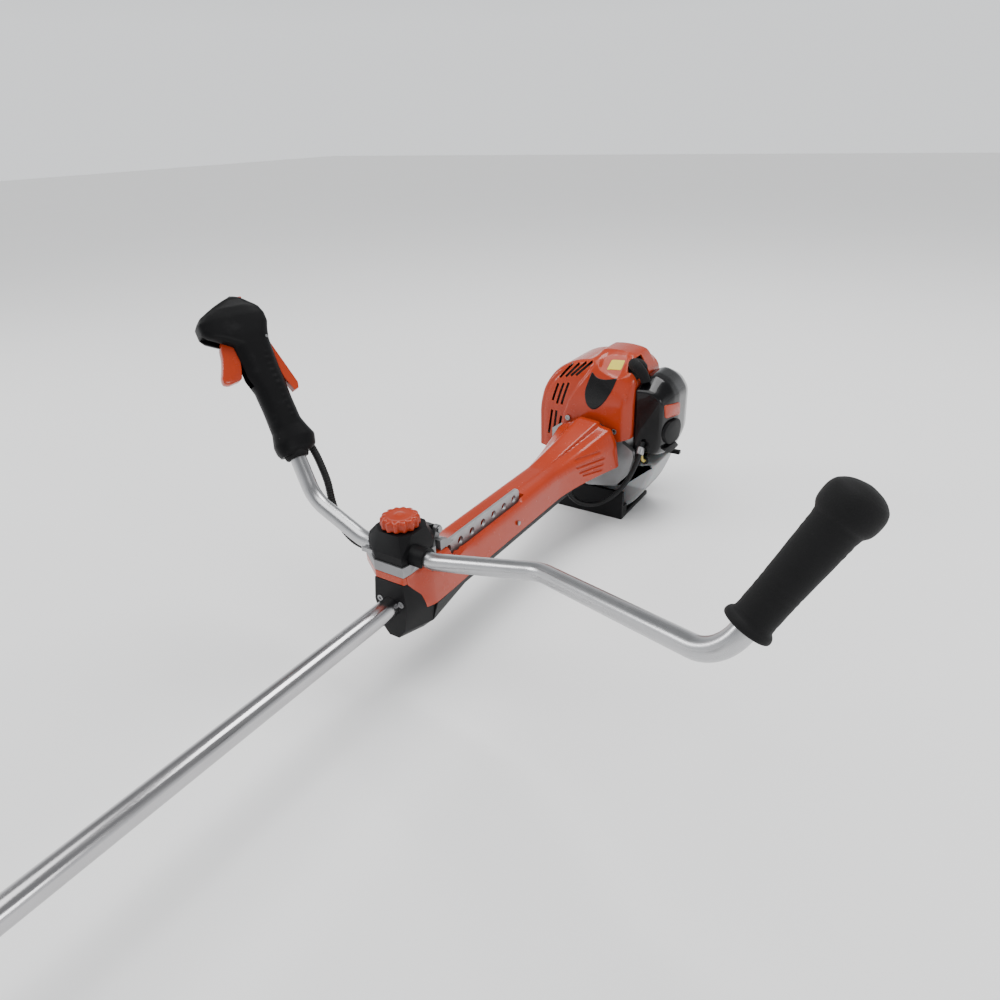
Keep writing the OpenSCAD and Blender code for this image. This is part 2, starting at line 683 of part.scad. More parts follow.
// Points between the chosen ones, on a smooth curve through them
function curve(p, m) = [for (i = [0:len(p) - 2], k = [0:m - 1]) mid(p, i, k / m), p[len(p) - 1]];
function mid(p, i, t) = let (a = p[max(i - 1, 0)], b = p[i], c = p[i + 1], d = p[min(i + 2, len(p) - 1)])
    0.5 * (2 * b + (c - a) * t + (2 * a - 5 * b + 4 * c - d) * t * t
    + (3 * b - a - 3 * c + d) * t * t * t);
conduit_r = 4.4;
conduit_pts = [[-175, 66, 163], [-165, 66, 145], [-150, 62, 118], [-137, 55, 92], [-118, 50, 66],
    [-95, 50, 50], [-70, 56, 42], [-41, 57, 41]];
module throttle_conduit() {
    color("black") on_tool() swept_tube(curve(conduit_pts, 3), conduit_r, 10);
}
engine_conduit_pts = [[0, 499, -38], [1, 502, -62], [14, 522, -84], [36, 546, -90], [60, 560, -74],
    [79, 567, -48], [94, 571, -14], [101, 573, 12], [101, 586, 32]];
module engine_conduit() {
    color("black") on_tool() swept_tube(curve(engine_conduit_pts, 3), conduit_r, 10);
}
hose_pts = [[103, 597, -8], [103, 586, -4], [102, 582, 6], [101, 588, 15]];
module fuel_hose() {
    color("khaki") on_tool() swept_tube(curve(hose_pts, 3), 2.5, 8);
}

// ---------------------------------------------------------------- clutch and crank
drum_r = drum_d / 2;
module clutch_drum() {
    color("gray") on_tool() along_y(drum_y) difference() {
        cylinder(r = drum_r, h = 26);
        translate([0, 0, 4]) cylinder(r = drum_r - 3, h = 30);
        translate([0, 0, -1]) cylinder(r = shaft_r, h = 10);
    }
}
crank_r = 9;
shoe_y = drum_y + 7;
module clutch_shoes() {
    color("dimgray") on_tool() along_y(shoe_y) difference() {
        cylinder(r = drum_r - 4, h = 15);
        translate([0, 0, -1]) cylinder(r = crank_r, h = 20);
        for (a = [0, 90]) rotate([0, 0, a]) translate([-drum_r, -2, -1]) cube([drum_d, 4, 20]);
    }
    color("silver") on_tool() along_y(shoe_y + 4) ring(drum_r - 14, drum_r - 17, 6);
}
web_t = 9;
rod_t = 12;
web_front = crank_y - rod_t / 2 - gap - web_t;
web_back = crank_y + rod_t / 2 + gap;
web_r = 32;
crank_back = crank_y + 92;
module crankshaft() {
    color("silver") on_tool() {
        along_y(shoe_y) cylinder(r = crank_r, h = web_front - shoe_y + 1);
        along_y(web_front) cylinder(r = web_r, h = web_t);
        along_y(web_back) cylinder(r = web_r, h = web_t);
        along_y(web_back + web_t - 1) cylinder(r = crank_r, h = crank_back - web_back - web_t + 1);
    }
}
throw = 16;
rod_len = 60;
module connecting_rod() {
    color("gray") on_tool() along_y(crank_y - rod_t / 2)
        difference() {
            union() {
                translate([0, -throw, 0]) cylinder(r = 13, h = rod_t);
                translate([0, -throw - rod_len, 0]) cylinder(r = 9, h = rod_t);
                translate([-5, -throw - rod_len, 2]) cube([10, rod_len, rod_t - 4]);
            }
            translate([0, -throw - rod_len, -1]) cylinder(r = 5, h = rod_t + 2);
        }
}
pin_z = throw + rod_len;
piston_top = pin_z + 22;
bore_r = bore_d / 2;
module piston() {
    color("silver") on_tool() {
        difference() {
            translate([0, crank_y, pin_z - 14]) cylinder(r = bore_r - run, h = 36);
            translate([0, crank_y, pin_z - 15]) cylinder(r = bore_r - 4, h = 30);
        }
        along_y(crank_y - bore_r + 5) translate([0, -pin_z, 0]) cylinder(r = 5 - run, h = bore_d - 10);
    }
}
cyl_low = 40;
cyl_head = piston_top + 12;
plug_tilt = 40;
fin_pitch = 8;
module engine_cylinder() {
    color("gray") on_tool() difference() {
        union() {
            translate([0, crank_y, cyl_low]) cylinder(r = bore_r + 5, h = cyl_head - cyl_low);
            for (z = [cyl_low + 12:fin_pitch:cyl_head - 3]) translate([-48, crank_y - 42, z])
                cube([96, 84, 2.5]);
            translate([-34, crank_y - 34, cyl_low]) cube([68, 68, 6]);
        }
        translate([0, crank_y, 0]) cylinder(r = bore_r, h = piston_top + 2);
        translate([0, crank_y, piston_top]) rotate([0, plug_tilt, 0]) cylinder(r = 6, h = 60);
    }
}
case_front = bell_y + gap;
case_back = 676;
body_r = 52;
module crankcase() {
    color("silver") on_tool() difference() {
        union() {
            along_y(490) cylinder(r = tube_r + 5, h = 20);
            along_y(500) cylinder(r1 = tube_r + 5, r2 = drum_r + 7, h = 27);
            along_y(527) cylinder(r = drum_r + 7, h = case_front - 527 + 2);
            along_y(case_front) cylinder(r = body_r, h = case_back - case_front);
            slab_y(cover_front + cover_wall + gap, 11) polygon([[-78, -20], [-60, -58], [0, -72],
                [56, -62], [80, -34], [88, 0], [86, 14], [66, 26], [66, 44], [40, 56], [-40, 56],
                [-78, 30]]);
            box([-34, crank_y - 34, 30], [34, crank_y + 34, cyl_low]);
        }
        along_y(480) cylinder(r = tube_r, h = tube_back - 480);
        along_y(drum_y - 1) cylinder(r = drum_r + 2, h = 32);
        along_y(tube_back - 1) cylinder(r = shaft_r + 2, h = 20);
        along_y(520) cylinder(r = crank_r + run, h = 300);
        along_y(web_front - air) cylinder(r = web_r + 2, h = web_back + web_t - web_front + 2 * air);
        translate([0, crank_y, 0]) cylinder(r = bore_r, h = 80);
        box([-37, crank_y - 37, cyl_low], [37, crank_y + 37, 80]);
    }
}
fly_y = case_back + 3;
module flywheel() {
    color("silver") on_tool() along_y(fly_y) difference() {
        union() {
            cylinder(r = flywheel_d / 2 - 6, h = 6);
            cylinder(r = 20, h = 18);
            for (i = [0:15]) rotate([0, 0, i * 22.5]) translate([22, -1.2, 0])
                cube([flywheel_d / 2 - 22, 2.4, 16]);
        }
        translate([0, 0, -1]) cylinder(r = crank_r, h = 30);
    }
}
module on_plug() { on_tool() translate([0, crank_y, piston_top]) rotate([0, plug_tilt, 0]) children(); }
module spark_plug() {
    color("white") on_plug() {
        translate([0, 0, 8]) cylinder(r = 6, h = 22);
        translate([0, 0, 30]) cylinder(r = 10, h = 9, $fn = 6);
        translate([0, 0, 39]) cylinder(r = 5, h = 20);
    }
}
module plug_boot() {
    color("black") on_tool() difference() {
        union() {
            translate([0, crank_y, piston_top]) rotate([0, plug_tilt, 0]) translate([0, 0, 42])
                cylinder(r = 10, h = 30);
            translate([45, crank_y, piston_top + 54]) sphere(11);
            translate([45, crank_y, piston_top + 54]) rotate([0, 112, -28]) cylinder(r = 8, h = 34);
        }
        translate([0, crank_y, piston_top]) rotate([0, plug_tilt, 0]) cylinder(r = 5, h = 59);
    }
}
module muffler() {
    color("dimgray") on_tool() difference() {
        union() {
            box([-94, 604, 22], [-52, 684, 108]);
            box([-52.2, 622, 50], [-48, 658, 84]);
        }
        box([-92, 606, 24], [-54, 682, 106]);
        along_x([-96, 668, 36]) cylinder(r = 6, h = 4);
        along_x([-56, crank_y, 67]) cylinder(r = 9, h = 10);
    }
}
// Front outline of the cover, looking along +Y; d draws it in
module cover_outline(d) { polygon([[-108 + d, -8 - d], [-108 + d, 70], [-98 + d, 112 - d / 2],
    [-78 + d / 2, 142 - d], [-45, 160 - d], [20, 166 - d], [62, 152 - d], [80 - d, 132 - d],
    [80 - d, 36 - d], [30, 18 - d], [-60, -14 - d]]); }
cover_back = 700;
cover_hole_r = 62;
cover_wall = 2.5;
module cover_solid(d, front, back) {
    hull() {
        slab_y(front, 1) cover_outline(9 + d);
        slab_y(cover_front + 14, 1) cover_outline(d);
        slab_y(back - 1, 1) cover_outline(d);
    }
    hull() {
        box([-10 + d, 606 + d, 150], [52 - d, 688 - d, 176 - d]);
        box([-30 + d, 592 + d, 146 - d], [70 - d, 698 - d, 147 - d]);
    }
}
module engine_cover() {
    color("orangered") on_tool() difference() {
        cover_solid(0, cover_front, cover_back);
        cover_solid(cover_wall, cover_front + cover_wall, cover_back + 5);
        box([74, cover_front + 20, 8], [90, cover_back + 5, 122]);
        for (i = [0:2]) box([-92 + i * 10, cover_front - 5, 16], [-87 + i * 10, cover_front + 12, 56]);
        for (i = [0:2]) box([-84 + i * 10, cover_front - 5, 70], [-79 + i * 10, cover_front + 12, 106]);
        for (i = [0:3]) box([-68 + i * 11, 612, 130], [-63 + i * 11, 656, 172]);
        for (i = [0:5]) box([-115, 604 + i * 14, 22], [-100, 611 + i * 14, 64]);
        along_y(cover_front - 5) cylinder(r = cover_hole_r, h = 20);
        box([58, 602, 120], [85, 654, 180]);
    }
}
module carburettor() {
    color("silver") on_tool() difference() {
        union() {
            box([48.3, 622, 52], [56, 658, 84]);
            box([56, 618, 46], [78, 662, 90]);
            box([78, 598, 12], [82, 694, 112]);
        }
        along_x([40, crank_y, 68]) cylinder(r = 8, h = 60);
    }
}
module air_filter() {
    color("white") on_tool() difference() {
        box([82, 606, 16], [104, 686, 106]);
        box([80, 616, 26], [98, 676, 96]);
    }
}
choke_x = 122;
choke_y = 656;
module filter_shape(d) {
    hull() {
        box([80.3 - 3 * d, 590 + d, 8 + d], [126 - d, 592 + d, 122 - d]);
        box([80.3 - 3 * d, 640, 0 + d], [142 - d, 641, 140 - d]);
        box([80.3 - 3 * d, 706 - d, 0 + d], [138 - d, 708 - d, 130 - d]);
        box([80.3 - 3 * d, 640, 146 - d], [110, 690 - d, 148 - d]);
    }
}
module filter_cover() {
    color("black") on_tool() difference() {
        filter_shape(0);
        filter_shape(2.5);
        translate([choke_x, choke_y, -5]) cylinder(r = 4 + run, h = 12);
    }
}
module choke_lever() {
    color("black") on_tool() {
        translate([choke_x, choke_y, -2]) cylinder(r = 4, h = 9);
        translate([choke_x, choke_y, -8]) cylinder(r = 8, h = 7);
        box([choke_x, choke_y - 5, -8], [choke_x + 26, choke_y + 5, -2]);
    }
}
tank_front = 600;
tank_back = 702;
module tank_outline(d) { polygon([[124 - d, -14 - d], [112 - d, -48], [103 - d, -70], [85 - d, -100 + d / 2],
    [60, -122 + d], [-60, -122 + d], [-95 + d, -104 + d], [-95 + d, -58 - d], [-60, -58 - d],
    [60 + d, -62 - d], [78 + d, -40], [92 + d, -14 - d]]); }
cap_z = -81;
module fuel_tank() {
    color("whitesmoke") on_tool() difference() {
        union() {
            slab_y(tank_front, tank_back - tank_front) tank_outline(0);
            along_x([-105, 660, cap_z]) cylinder(r = filler_d / 2, h = 11);
        }
        slab_y(tank_front + 2.5, tank_back - tank_front - 5) tank_outline(2.5);
        along_x([-110, 660, cap_z]) cylinder(r = filler_d / 2 - 3, h = 30);
    }
}
module fuel_cap() {
    color("black") on_tool() along_x([-109, 660, cap_z]) difference() {
        cylinder(r = filler_d / 2 + 4, h = 13);
        translate([0, 0, 3]) cylinder(r = filler_d / 2 + run, h = 20);
        for (i = [0:11]) rotate([0, 0, i * 30]) translate([filler_d / 2 + 5.5, 0, -1])
            cylinder(r = 2.6, h = 20);
    }
}
start_y = 703;
start_r = 74;
module starter_housing() {
    color("black") on_tool() along_y(start_y) difference() {
        union() {
            cylinder(r = start_r, h = 48);
            translate([0, 0, 48]) cylinder(r1 = start_r, r2 = start_r - 16, h = 12);
            translate([-58, -58, 0]) cube([116, 116, 4]);
        }
        translate([0, 0, -1]) cylinder(r = start_r - 3, h = 49);
        translate([0, 0, 47]) cylinder(r1 = start_r - 4, r2 = start_r - 20, h = 10);
        for (i = [0:11]) rotate([0, 0, i * 30]) translate([30, -3, 50]) cube([26, 6, 20]);
        rotate([0, 0, 30]) translate([0, -start_r - 5, 30]) rotate([-90, 0, 0]) cylinder(r = 5, h = 20);
    }
}
module starter_handle() {
    color("black") on_tool() along_y(start_y + 30) rotate([0, 0, 30]) translate([0, -start_r - 3, 0]) {
        rotate([90, 0, 0]) cylinder(r = 7, h = 16);
        rotate([90, 0, 0]) translate([0, 0, -4]) cylinder(r = 4.4, h = 8);
        translate([0, -20, -22]) cylinder(r = 7.5, h = 44);
    }
}
module engine_foot() {
    color("black") on_tool() {
        box([-72, 576, -axis_h], [72, 704, -122.3]);
        box([-72, 576, -124], [72, 584, -73]);
        for (s = [-72, 68]) box([s, 576, -124], [s + 4, 600, -104]);
    }
}

drive_tube();
tube_bushes();
drive_shaft();
gear_case();
head_bolts();
pinion_gear();
output_gear();
output_shaft();
gear_bearings();
thrust_plate();
guard();
guard_bracket();
line_cutter();
head_housing();
line_eyelets();
head_spool();
spool_line();
bump_knob();
head_cover();
front_boot();
tube_housing();
under_housing();
carrying_strip();
cover_screws();
clamp_base();
clamp_cap();
clamp_pin();
clamp_knob();
handlebar_tube();
plain_grip();
throttle_shell_left();
throttle_shell_right();
throttle_trigger();
lockout_lever();
stop_switch();
throttle_screws();
throttle_conduit();
clutch_drum();
clutch_shoes();
crankcase();
crankshaft();
connecting_rod();
piston();
engine_cylinder();
flywheel();
spark_plug();
plug_boot();
muffler();
engine_cover();
carburettor();
air_filter();
filter_cover();
choke_lever();
fuel_tank();
fuel_cap();
fuel_hose();
engine_conduit();
starter_housing();
starter_handle();
engine_foot();
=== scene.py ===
# %% [markdown]
# A petrol brushcutter: an engine with an orange cover, a straight drive tube, a bull-horn handlebar and a
# trimmer head. The CAD frame holds every part's place and motion. This lesson gives those parts their
# surfaces: shapes worked out with numpy, moulded edges, and a procedural finish for each material.

# %% Load the frame
import json
from math import acos, atan2, cos, pi, radians, sin, tan

import bmesh
import bpy
import numpy as np
from mathutils import Matrix, Vector


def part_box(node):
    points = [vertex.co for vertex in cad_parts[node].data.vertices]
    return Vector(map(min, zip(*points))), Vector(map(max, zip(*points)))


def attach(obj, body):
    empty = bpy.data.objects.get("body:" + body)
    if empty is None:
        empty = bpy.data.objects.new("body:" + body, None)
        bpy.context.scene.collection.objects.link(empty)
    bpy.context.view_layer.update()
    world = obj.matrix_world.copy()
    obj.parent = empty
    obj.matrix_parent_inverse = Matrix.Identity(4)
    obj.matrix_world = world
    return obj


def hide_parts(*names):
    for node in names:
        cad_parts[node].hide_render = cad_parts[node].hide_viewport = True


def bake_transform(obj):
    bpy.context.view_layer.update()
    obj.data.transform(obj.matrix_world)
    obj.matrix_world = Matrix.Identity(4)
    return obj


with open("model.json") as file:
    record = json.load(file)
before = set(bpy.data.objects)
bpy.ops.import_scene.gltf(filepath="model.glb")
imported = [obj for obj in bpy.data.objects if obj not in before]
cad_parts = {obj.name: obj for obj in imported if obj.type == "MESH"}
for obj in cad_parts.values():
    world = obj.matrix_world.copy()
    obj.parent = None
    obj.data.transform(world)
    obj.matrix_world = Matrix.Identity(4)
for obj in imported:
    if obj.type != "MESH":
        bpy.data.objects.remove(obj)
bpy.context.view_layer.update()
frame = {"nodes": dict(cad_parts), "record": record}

# %% [markdown]
# Every piece is worked out in the tool's own millimetres: the drive tube's axis is x = z = 0, and the front
# face of the boot is y = 0. The frame says where that point is, so one function carries points into it.

# %% The tool's own millimetres
MM = 0.001
tube_low, tube_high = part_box("drive_tube")
HOME = np.array([0.0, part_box("front_boot")[0].y, (tube_low.z + tube_high.z) / 2])


def to_frame(points):
    """Millimetres on the tool become metres in the frame: scale, then shift by the tool's home point."""
    return np.asarray(points, float) * MM + HOME


def span(node):
    """A CAD node's lowest and highest corner in the tool's millimetres."""
    low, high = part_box(node)
    return (np.array(low) - HOME) / MM, (np.array(high) - HOME) / MM


# %% [markdown]
# The camera comes first. It stands to the right of the tube, in front of the boot and above the engine, and
# looks down the tube. Its axes are given as directions, so the matrix is built from them.

# %% Camera
def aim(eye, right, up, back):
    """A camera's matrix: its three axes are the columns, and its place is the last one."""
    turn = Matrix((right, up, back)).transposed().to_4x4()
    return Matrix.Translation(Vector(eye)) @ turn


lens = bpy.data.cameras.new("view")
lens.lens = 26.64
lens.sensor_width = 36.0
lens.clip_end = 60.0
camera = bpy.data.objects.new("view", lens)
camera.matrix_world = aim(to_frame((550.9, -582.3, 552.9)), (0.84612, 0.53224, -0.02837),
                          (-0.22176, 0.39994, 0.88931), (0.48468, -0.74617, 0.45642))
bpy.context.scene.collection.objects.link(camera)
bpy.context.scene.camera = camera
print("camera at", [round(v, 3) for v in camera.matrix_world.translation])


# %% [markdown]
# Shader maths reads best as plain expressions. A Wire wraps one socket and adds a Math node for each
# operator. A Finish is one material: a Principled shader, and one method that makes any other node.

# %% Shader maths
class Wire:
    """One shader socket that can be added, multiplied and compared like a number."""

    def __init__(self, finish, socket):
        self.finish, self.socket = finish, socket

    def math(self, operation, other=0.0, swapped=False):
        first, second = (other, self) if swapped else (self, other)
        return self.finish.node("ShaderNodeMath", {"operation": operation}, {0: first, 1: second})

    def __add__(self, other): return self.math("ADD", other)
    def __radd__(self, other): return self.math("ADD", other)
    def __sub__(self, other): return self.math("SUBTRACT", other)
    def __rsub__(self, other): return self.math("SUBTRACT", other, True)
    def __mul__(self, other): return self.math("MULTIPLY", other)
    def __rmul__(self, other): return self.math("MULTIPLY", other)


class Finish:
    """A material: constants on the shader's own sockets, and Wires for what changes over the surface."""

    def __init__(self, name, **constants):
        self.material = bpy.data.materials.new(name)
        self.material.use_nodes = True
        self.nodes = self.material.node_tree.nodes
        self.links = self.material.node_tree.links
        self.nodes.clear()
        self.shader = self.nodes.new("ShaderNodeBsdfPrincipled")
        end = self.nodes.new("ShaderNodeOutputMaterial")
        self.links.new(self.shader.outputs[0], end.inputs[0])
        for socket, value in constants.items():
            self.shader.inputs[socket.replace("_", " ")].default_value = value

    def node(self, kind, settings=None, sockets=None, out=0):
        made = self.nodes.new(kind)
        for key, value in (settings or {}).items():
            if key == "stops":
                for stop, (place, level) in zip(made.color_ramp.elements, value):
                    stop.position, stop.color = place, (level, level, level, 1)
            else:
                setattr(made, key, value)
        for key, value in (sockets or {}).items():
            if isinstance(value, Wire):
                self.links.new(value.socket, made.inputs[key])
            else:
                made.inputs[key].default_value = value
        return Wire(self, made.outputs[out])

    def where(self, stretch=(1, 1, 1), source="Object"):
        """The point on the piece, in metres, stretched along each axis."""
        place = self.node("ShaderNodeTexCoord", out={"Object": 3, "UV": 2}[source])
        return self.node("ShaderNodeMapping", {}, {"Vector": place, "Scale": stretch})

    def noise(self, size, detail=3.0, stretch=(1, 1, 1), source="Object", roughness=0.5):
        """Noise whose lumps are about `size` metres across."""
        return self.node("ShaderNodeTexNoise", {}, {"Vector": self.where(stretch, source),
                         "Scale": 1 / size, "Detail": detail, "Roughness": roughness})

    def step(self, wire, low, high):
        """0 below low, 1 above high, and a smooth climb between."""
        return self.node("ShaderNodeMapRange", {"interpolation_type": "SMOOTHSTEP"},
                         {"Value": wire, "From Min": low, "From Max": high})

    def mix(self, mask, first, second):
        return self.node("ShaderNodeMix", {"data_type": "RGBA"}, {0: mask, 6: first, 7: second}, out=2)

    def bump(self, height, depth, strength=1.0):
        return self.node("ShaderNodeBump", {}, {"Height": height, "Distance": depth,
                                                "Strength": strength})

    def edges(self, low=0.52, high=0.60):
        """A mask that is 1 on worn outer edges."""
        return self.step(self.node("ShaderNodeNewGeometry", out="Pointiness"), low, high)

    def feed(self, **wires):
        for socket, wire in wires.items():
            self.links.new(wire.socket, self.shader.inputs[socket.replace("_", " ")])
        return self.material


# %% [markdown]
# The cover, the housing, the knob and the trigger are one orange plastic. It is glossy, with the faint
# orange-peel of a polished mould, a slightly uneven depth of colour, and fine dust that dulls it in places.

# %% Orange plastic
def orange_plastic():
    f = Finish("orange_plastic", IOR=1.48, Specular_IOR_Level=0.25, Coat_Roughness=0.06)
    cloud = f.noise(0.06, 3)
    fine = f.noise(0.0022, 2)
    dust = f.step(f.noise(0.015, 5, roughness=0.65), 0.48, 0.75)
    base = f.mix(cloud, (0.33, 0.027, 0.007, 1), (0.42, 0.040, 0.010, 1))
    worn = f.mix(f.edges() * 0.35, base, (0.50, 0.075, 0.025, 1))
    rough = 0.22 + 0.05 * cloud + 0.05 * dust
    return f.feed(Base_Color=worn, Roughness=rough, Coat_Weight=0.30 - 0.08 * dust,
                  Normal=f.bump(fine * 0.5 + cloud, 0.0004, 0.25))


# %% [markdown]
# Three blacks tell the plastics apart. The clamp, grip shells and lower housing have a spark-eroded grain
# that spreads the light. The filter cover is polished. The plain grip is a soft foam rubber with no shine.

# %% Black plastics and rubber
def grained_black():
    f = Finish("grained_black", IOR=1.46, Specular_IOR_Level=0.13)
    grain = f.node("ShaderNodeTexVoronoi", {}, {"Vector": f.where(), "Scale": 1400.0})
    scuff = f.step(f.noise(0.02, 6, roughness=0.7), 0.55, 0.80)
    base = f.mix(scuff * 0.5 + f.edges() * 0.4, (0.005, 0.005, 0.0055, 1), (0.016, 0.016, 0.017, 1))
    return f.feed(Base_Color=base, Roughness=0.42 + 0.16 * scuff,
                  Normal=f.bump(grain, 0.00012, 0.5))


def polished_black():
    f = Finish("polished_black", IOR=1.5, Specular_IOR_Level=0.18, Coat_Roughness=0.04)
    cloud = f.noise(0.03, 4)
    dust = f.step(f.noise(0.008, 6, roughness=0.7), 0.58, 0.85)
    base = f.mix(dust, (0.004, 0.004, 0.0045, 1), (0.014, 0.014, 0.014, 1))
    return f.feed(Base_Color=base, Roughness=0.16 + 0.12 * cloud + 0.20 * dust,
                  Coat_Weight=0.28 - 0.20 * dust, Normal=f.bump(cloud, 0.0005, 0.2))


def soft_rubber():
    f = Finish("soft_rubber", IOR=1.5, Specular_IOR_Level=0.13, Sheen_Weight=0.03, Sheen_Roughness=0.5)
    cells = f.node("ShaderNodeTexVoronoi", {}, {"Vector": f.where(), "Scale": 900.0})
    cloud = f.noise(0.012, 5, roughness=0.65)
    base = f.mix(cloud, (0.005, 0.005, 0.0052, 1), (0.010, 0.010, 0.0105, 1))
    return f.feed(Base_Color=base, Roughness=0.62 + 0.14 * cloud,
                  Normal=f.bump(cells + cloud, 0.00025, 0.5))


def ribbed_hose(name, colour, level):
    f = Finish(name, IOR=1.45, Specular_IOR_Level=0.28)
    cloud = f.noise(0.01, 4)
    dark = tuple(c * 0.7 for c in colour) + (1,)
    return f.feed(Base_Color=f.mix(cloud, dark, colour + (1,)), Roughness=level + 0.15 * cloud,
                  Normal=f.bump(cloud, 0.0002, 0.3))


# %% [markdown]
# Metal is told by how it was worked. Drawn tube has fine streaks along its length, castings have a sandy
# skin, turned steel has rings, and the strip is rolled sheet. All of them read the piece's own coordinates.

# %% Metals
def drawn_tube(name, tone, level, across, along, source):
    f = Finish(name, Metallic=1.0)
    streak = f.noise(1.0, 4, stretch=(across, along, across), source=source, roughness=0.6)
    smear = f.noise(0.03, 3)
    low = tuple(c * 0.86 for c in tone) + (1,)
    return f.feed(Base_Color=f.mix(smear, low, tone + (1,)),
                  Roughness=level + 0.10 * streak + 0.06 * smear,
                  Normal=f.bump(streak, 0.00008, 0.35))


def cast_metal(name, tone, level):
    f = Finish(name, Metallic=0.85)
    sand = f.noise(0.0012, 3, roughness=0.7)
    cloud = f.noise(0.02, 4)
    low = tuple(c * 0.72 for c in tone) + (1,)
    base = f.mix(cloud, low, tone + (1,))
    bright = f.mix(f.edges() * 0.5, base, (0.55, 0.55, 0.56, 1))
    return f.feed(Base_Color=bright, Roughness=level + 0.14 * cloud,
                  Normal=f.bump(sand, 0.00025, 0.45))


def machined_steel():
    f = Finish("machined_steel", Metallic=1.0)
    streak = f.noise(0.0008, 2)
    cloud = f.noise(0.012, 4)
    return f.feed(Base_Color=f.mix(cloud, (0.24, 0.24, 0.245, 1), (0.36, 0.36, 0.365, 1)),
                  Roughness=0.26 + 0.12 * cloud + 0.08 * streak, Normal=f.bump(streak, 0.00005, 0.4))


def rolled_sheet():
    f = Finish("rolled_sheet", Metallic=0.75)
    streak = f.noise(1.0, 3, stretch=(900, 30, 900))
    cloud = f.noise(0.015, 4)
    return f.feed(Base_Color=f.mix(cloud, (0.30, 0.31, 0.32, 1), (0.44, 0.45, 0.46, 1)),
                  Roughness=0.36 + 0.14 * streak, Normal=f.bump(streak, 0.00006, 0.4))


def heat_paint():
    f = Finish("heat_paint", Metallic=0.3, IOR=1.5)
    sand = f.noise(0.0015, 4, roughness=0.7)
    cloud = f.noise(0.03, 4)
    return f.feed(Base_Color=f.mix(cloud, (0.018, 0.017, 0.016, 1), (0.05, 0.045, 0.04, 1)),
                  Roughness=0.55 + 0.2 * cloud, Normal=f.bump(sand, 0.0003, 0.5))


# %% [markdown]
# The tank is blown polyethylene: milky, waxy and a little see-through. Its lower part is painted darker than
# its top,
# with a soft wavy edge: painted shade. The light is let into it with subsurface scatter, whose settings are
# constants.

# %% Tank, felt, line, ceramic, badge and sticker
def milky_tank():
    f = Finish("milky_tank", IOR=1.5, Specular_IOR_Level=0.3, Subsurface_Weight=0.25, Subsurface_Scale=0.01)
    cloud = f.noise(0.03, 3)
    height = f.node("ShaderNodeSeparateXYZ", {}, {0: f.where()}, out=2)
    # painted shade: the mask called fuel makes the tank's lower part darker than its top
    fuel = f.step(height + 0.004 * cloud, 0.062, 0.068)
    base = f.mix(fuel, (0.20, 0.20, 0.205, 1), (0.32, 0.325, 0.33, 1))
    return f.feed(Base_Color=base, Roughness=0.34 + 0.12 * cloud,
                  Normal=f.bump(f.noise(0.002, 3), 0.0002, 0.3))


def plain_stuff(name, first, second, level, grain, depth, **constants):
    f = Finish(name, **constants)
    cloud = f.noise(grain * 8, 4)
    return f.feed(Base_Color=f.mix(cloud, first + (1,), second + (1,)), Roughness=level + 0.12 * cloud,
                  Normal=f.bump(f.noise(grain, 4), depth, 0.5))


ORANGE = orange_plastic()
BLACK = grained_black()
GLOSS = polished_black()
RUBBER = soft_rubber()
CONDUIT = ribbed_hose("conduit_black", (0.007, 0.007, 0.0075), 0.34)
HOSE = ribbed_hose("hose_amber", (0.60, 0.48, 0.12), 0.22)
BRIGHT = drawn_tube("bright_tube", (0.52, 0.51, 0.52), 0.12, 700, 12, "Object")
SATIN = drawn_tube("satin_bar", (0.50, 0.50, 0.51), 0.20, 600, 10, "UV")
CASTING = cast_metal("cast_grey", (0.20, 0.20, 0.205), 0.36)
SILVER = cast_metal("cast_silver", (0.26, 0.26, 0.265), 0.32)
STEEL = machined_steel()
SHEET = rolled_sheet()
HEAT = heat_paint()
TANK = milky_tank()
FELT = plain_stuff("filter_felt", (0.50, 0.47, 0.40), (0.66, 0.63, 0.56), 0.8, 0.001, 0.0006)
CERAMIC = plain_stuff("plug_ceramic", (0.72, 0.71, 0.69), (0.80, 0.79, 0.77), 0.12, 0.004, 0.0001)
NYLON = plain_stuff("nylon_line", (0.70, 0.16, 0.02), (0.85, 0.25, 0.04), 0.28, 0.002, 0.0002)
BADGE = plain_stuff("badge_black", (0.004, 0.004, 0.0045), (0.009, 0.009, 0.0095), 0.14, 0.003, 0.0001,
                    Specular_IOR_Level=0.25)
STICKER = plain_stuff("sticker_yellow", (0.62, 0.52, 0.02), (0.72, 0.60, 0.04), 0.38, 0.002, 0.0001)
print("finishes:", len(bpy.data.materials))


# %% [markdown]
# A surface is a grid of points: rows along it and columns round it. The faces join each point to its
# neighbours, and a closed end is one flat face. The grid's own lengths become the UV map, in metres.

# %% Surfaces from grids
def grid_faces(rows, columns, wrap):
    """Four corners for each cell of the grid; with wrap, the last column joins the first."""
    i = np.arange(rows - 1)[:, None]
    j = np.arange(columns if wrap else columns - 1)[None, :]
    k = (j + 1) % columns
    corners = np.stack([i * columns + j, i * columns + k, (i + 1) * columns + k,
                        (i + 1) * columns + j], -1)
    return corners.reshape(-1, 4)


def surface(points, wrap=True, ends=True):
    """(points, faces) of a grid in millimetres; ends closes its first and last row with a flat face."""
    rows, columns = points.shape[:2]
    faces = [list(f) for f in grid_faces(rows, columns, wrap)]
    if ends:
        faces.append(list(range(columns))[::-1])
        faces.append(list(range((rows - 1) * columns, rows * columns)))
    return points.reshape(-1, 3), faces


def several(*surfaces):
    """Some surfaces as one: the points follow each other, and the faces' numbers are shifted."""
    points, faces, shift = [], [], 0
    for p, f in surfaces:
        points.append(p)
        faces += [[n + shift for n in face] for face in f]
        shift += len(p)
    return np.concatenate(points), faces


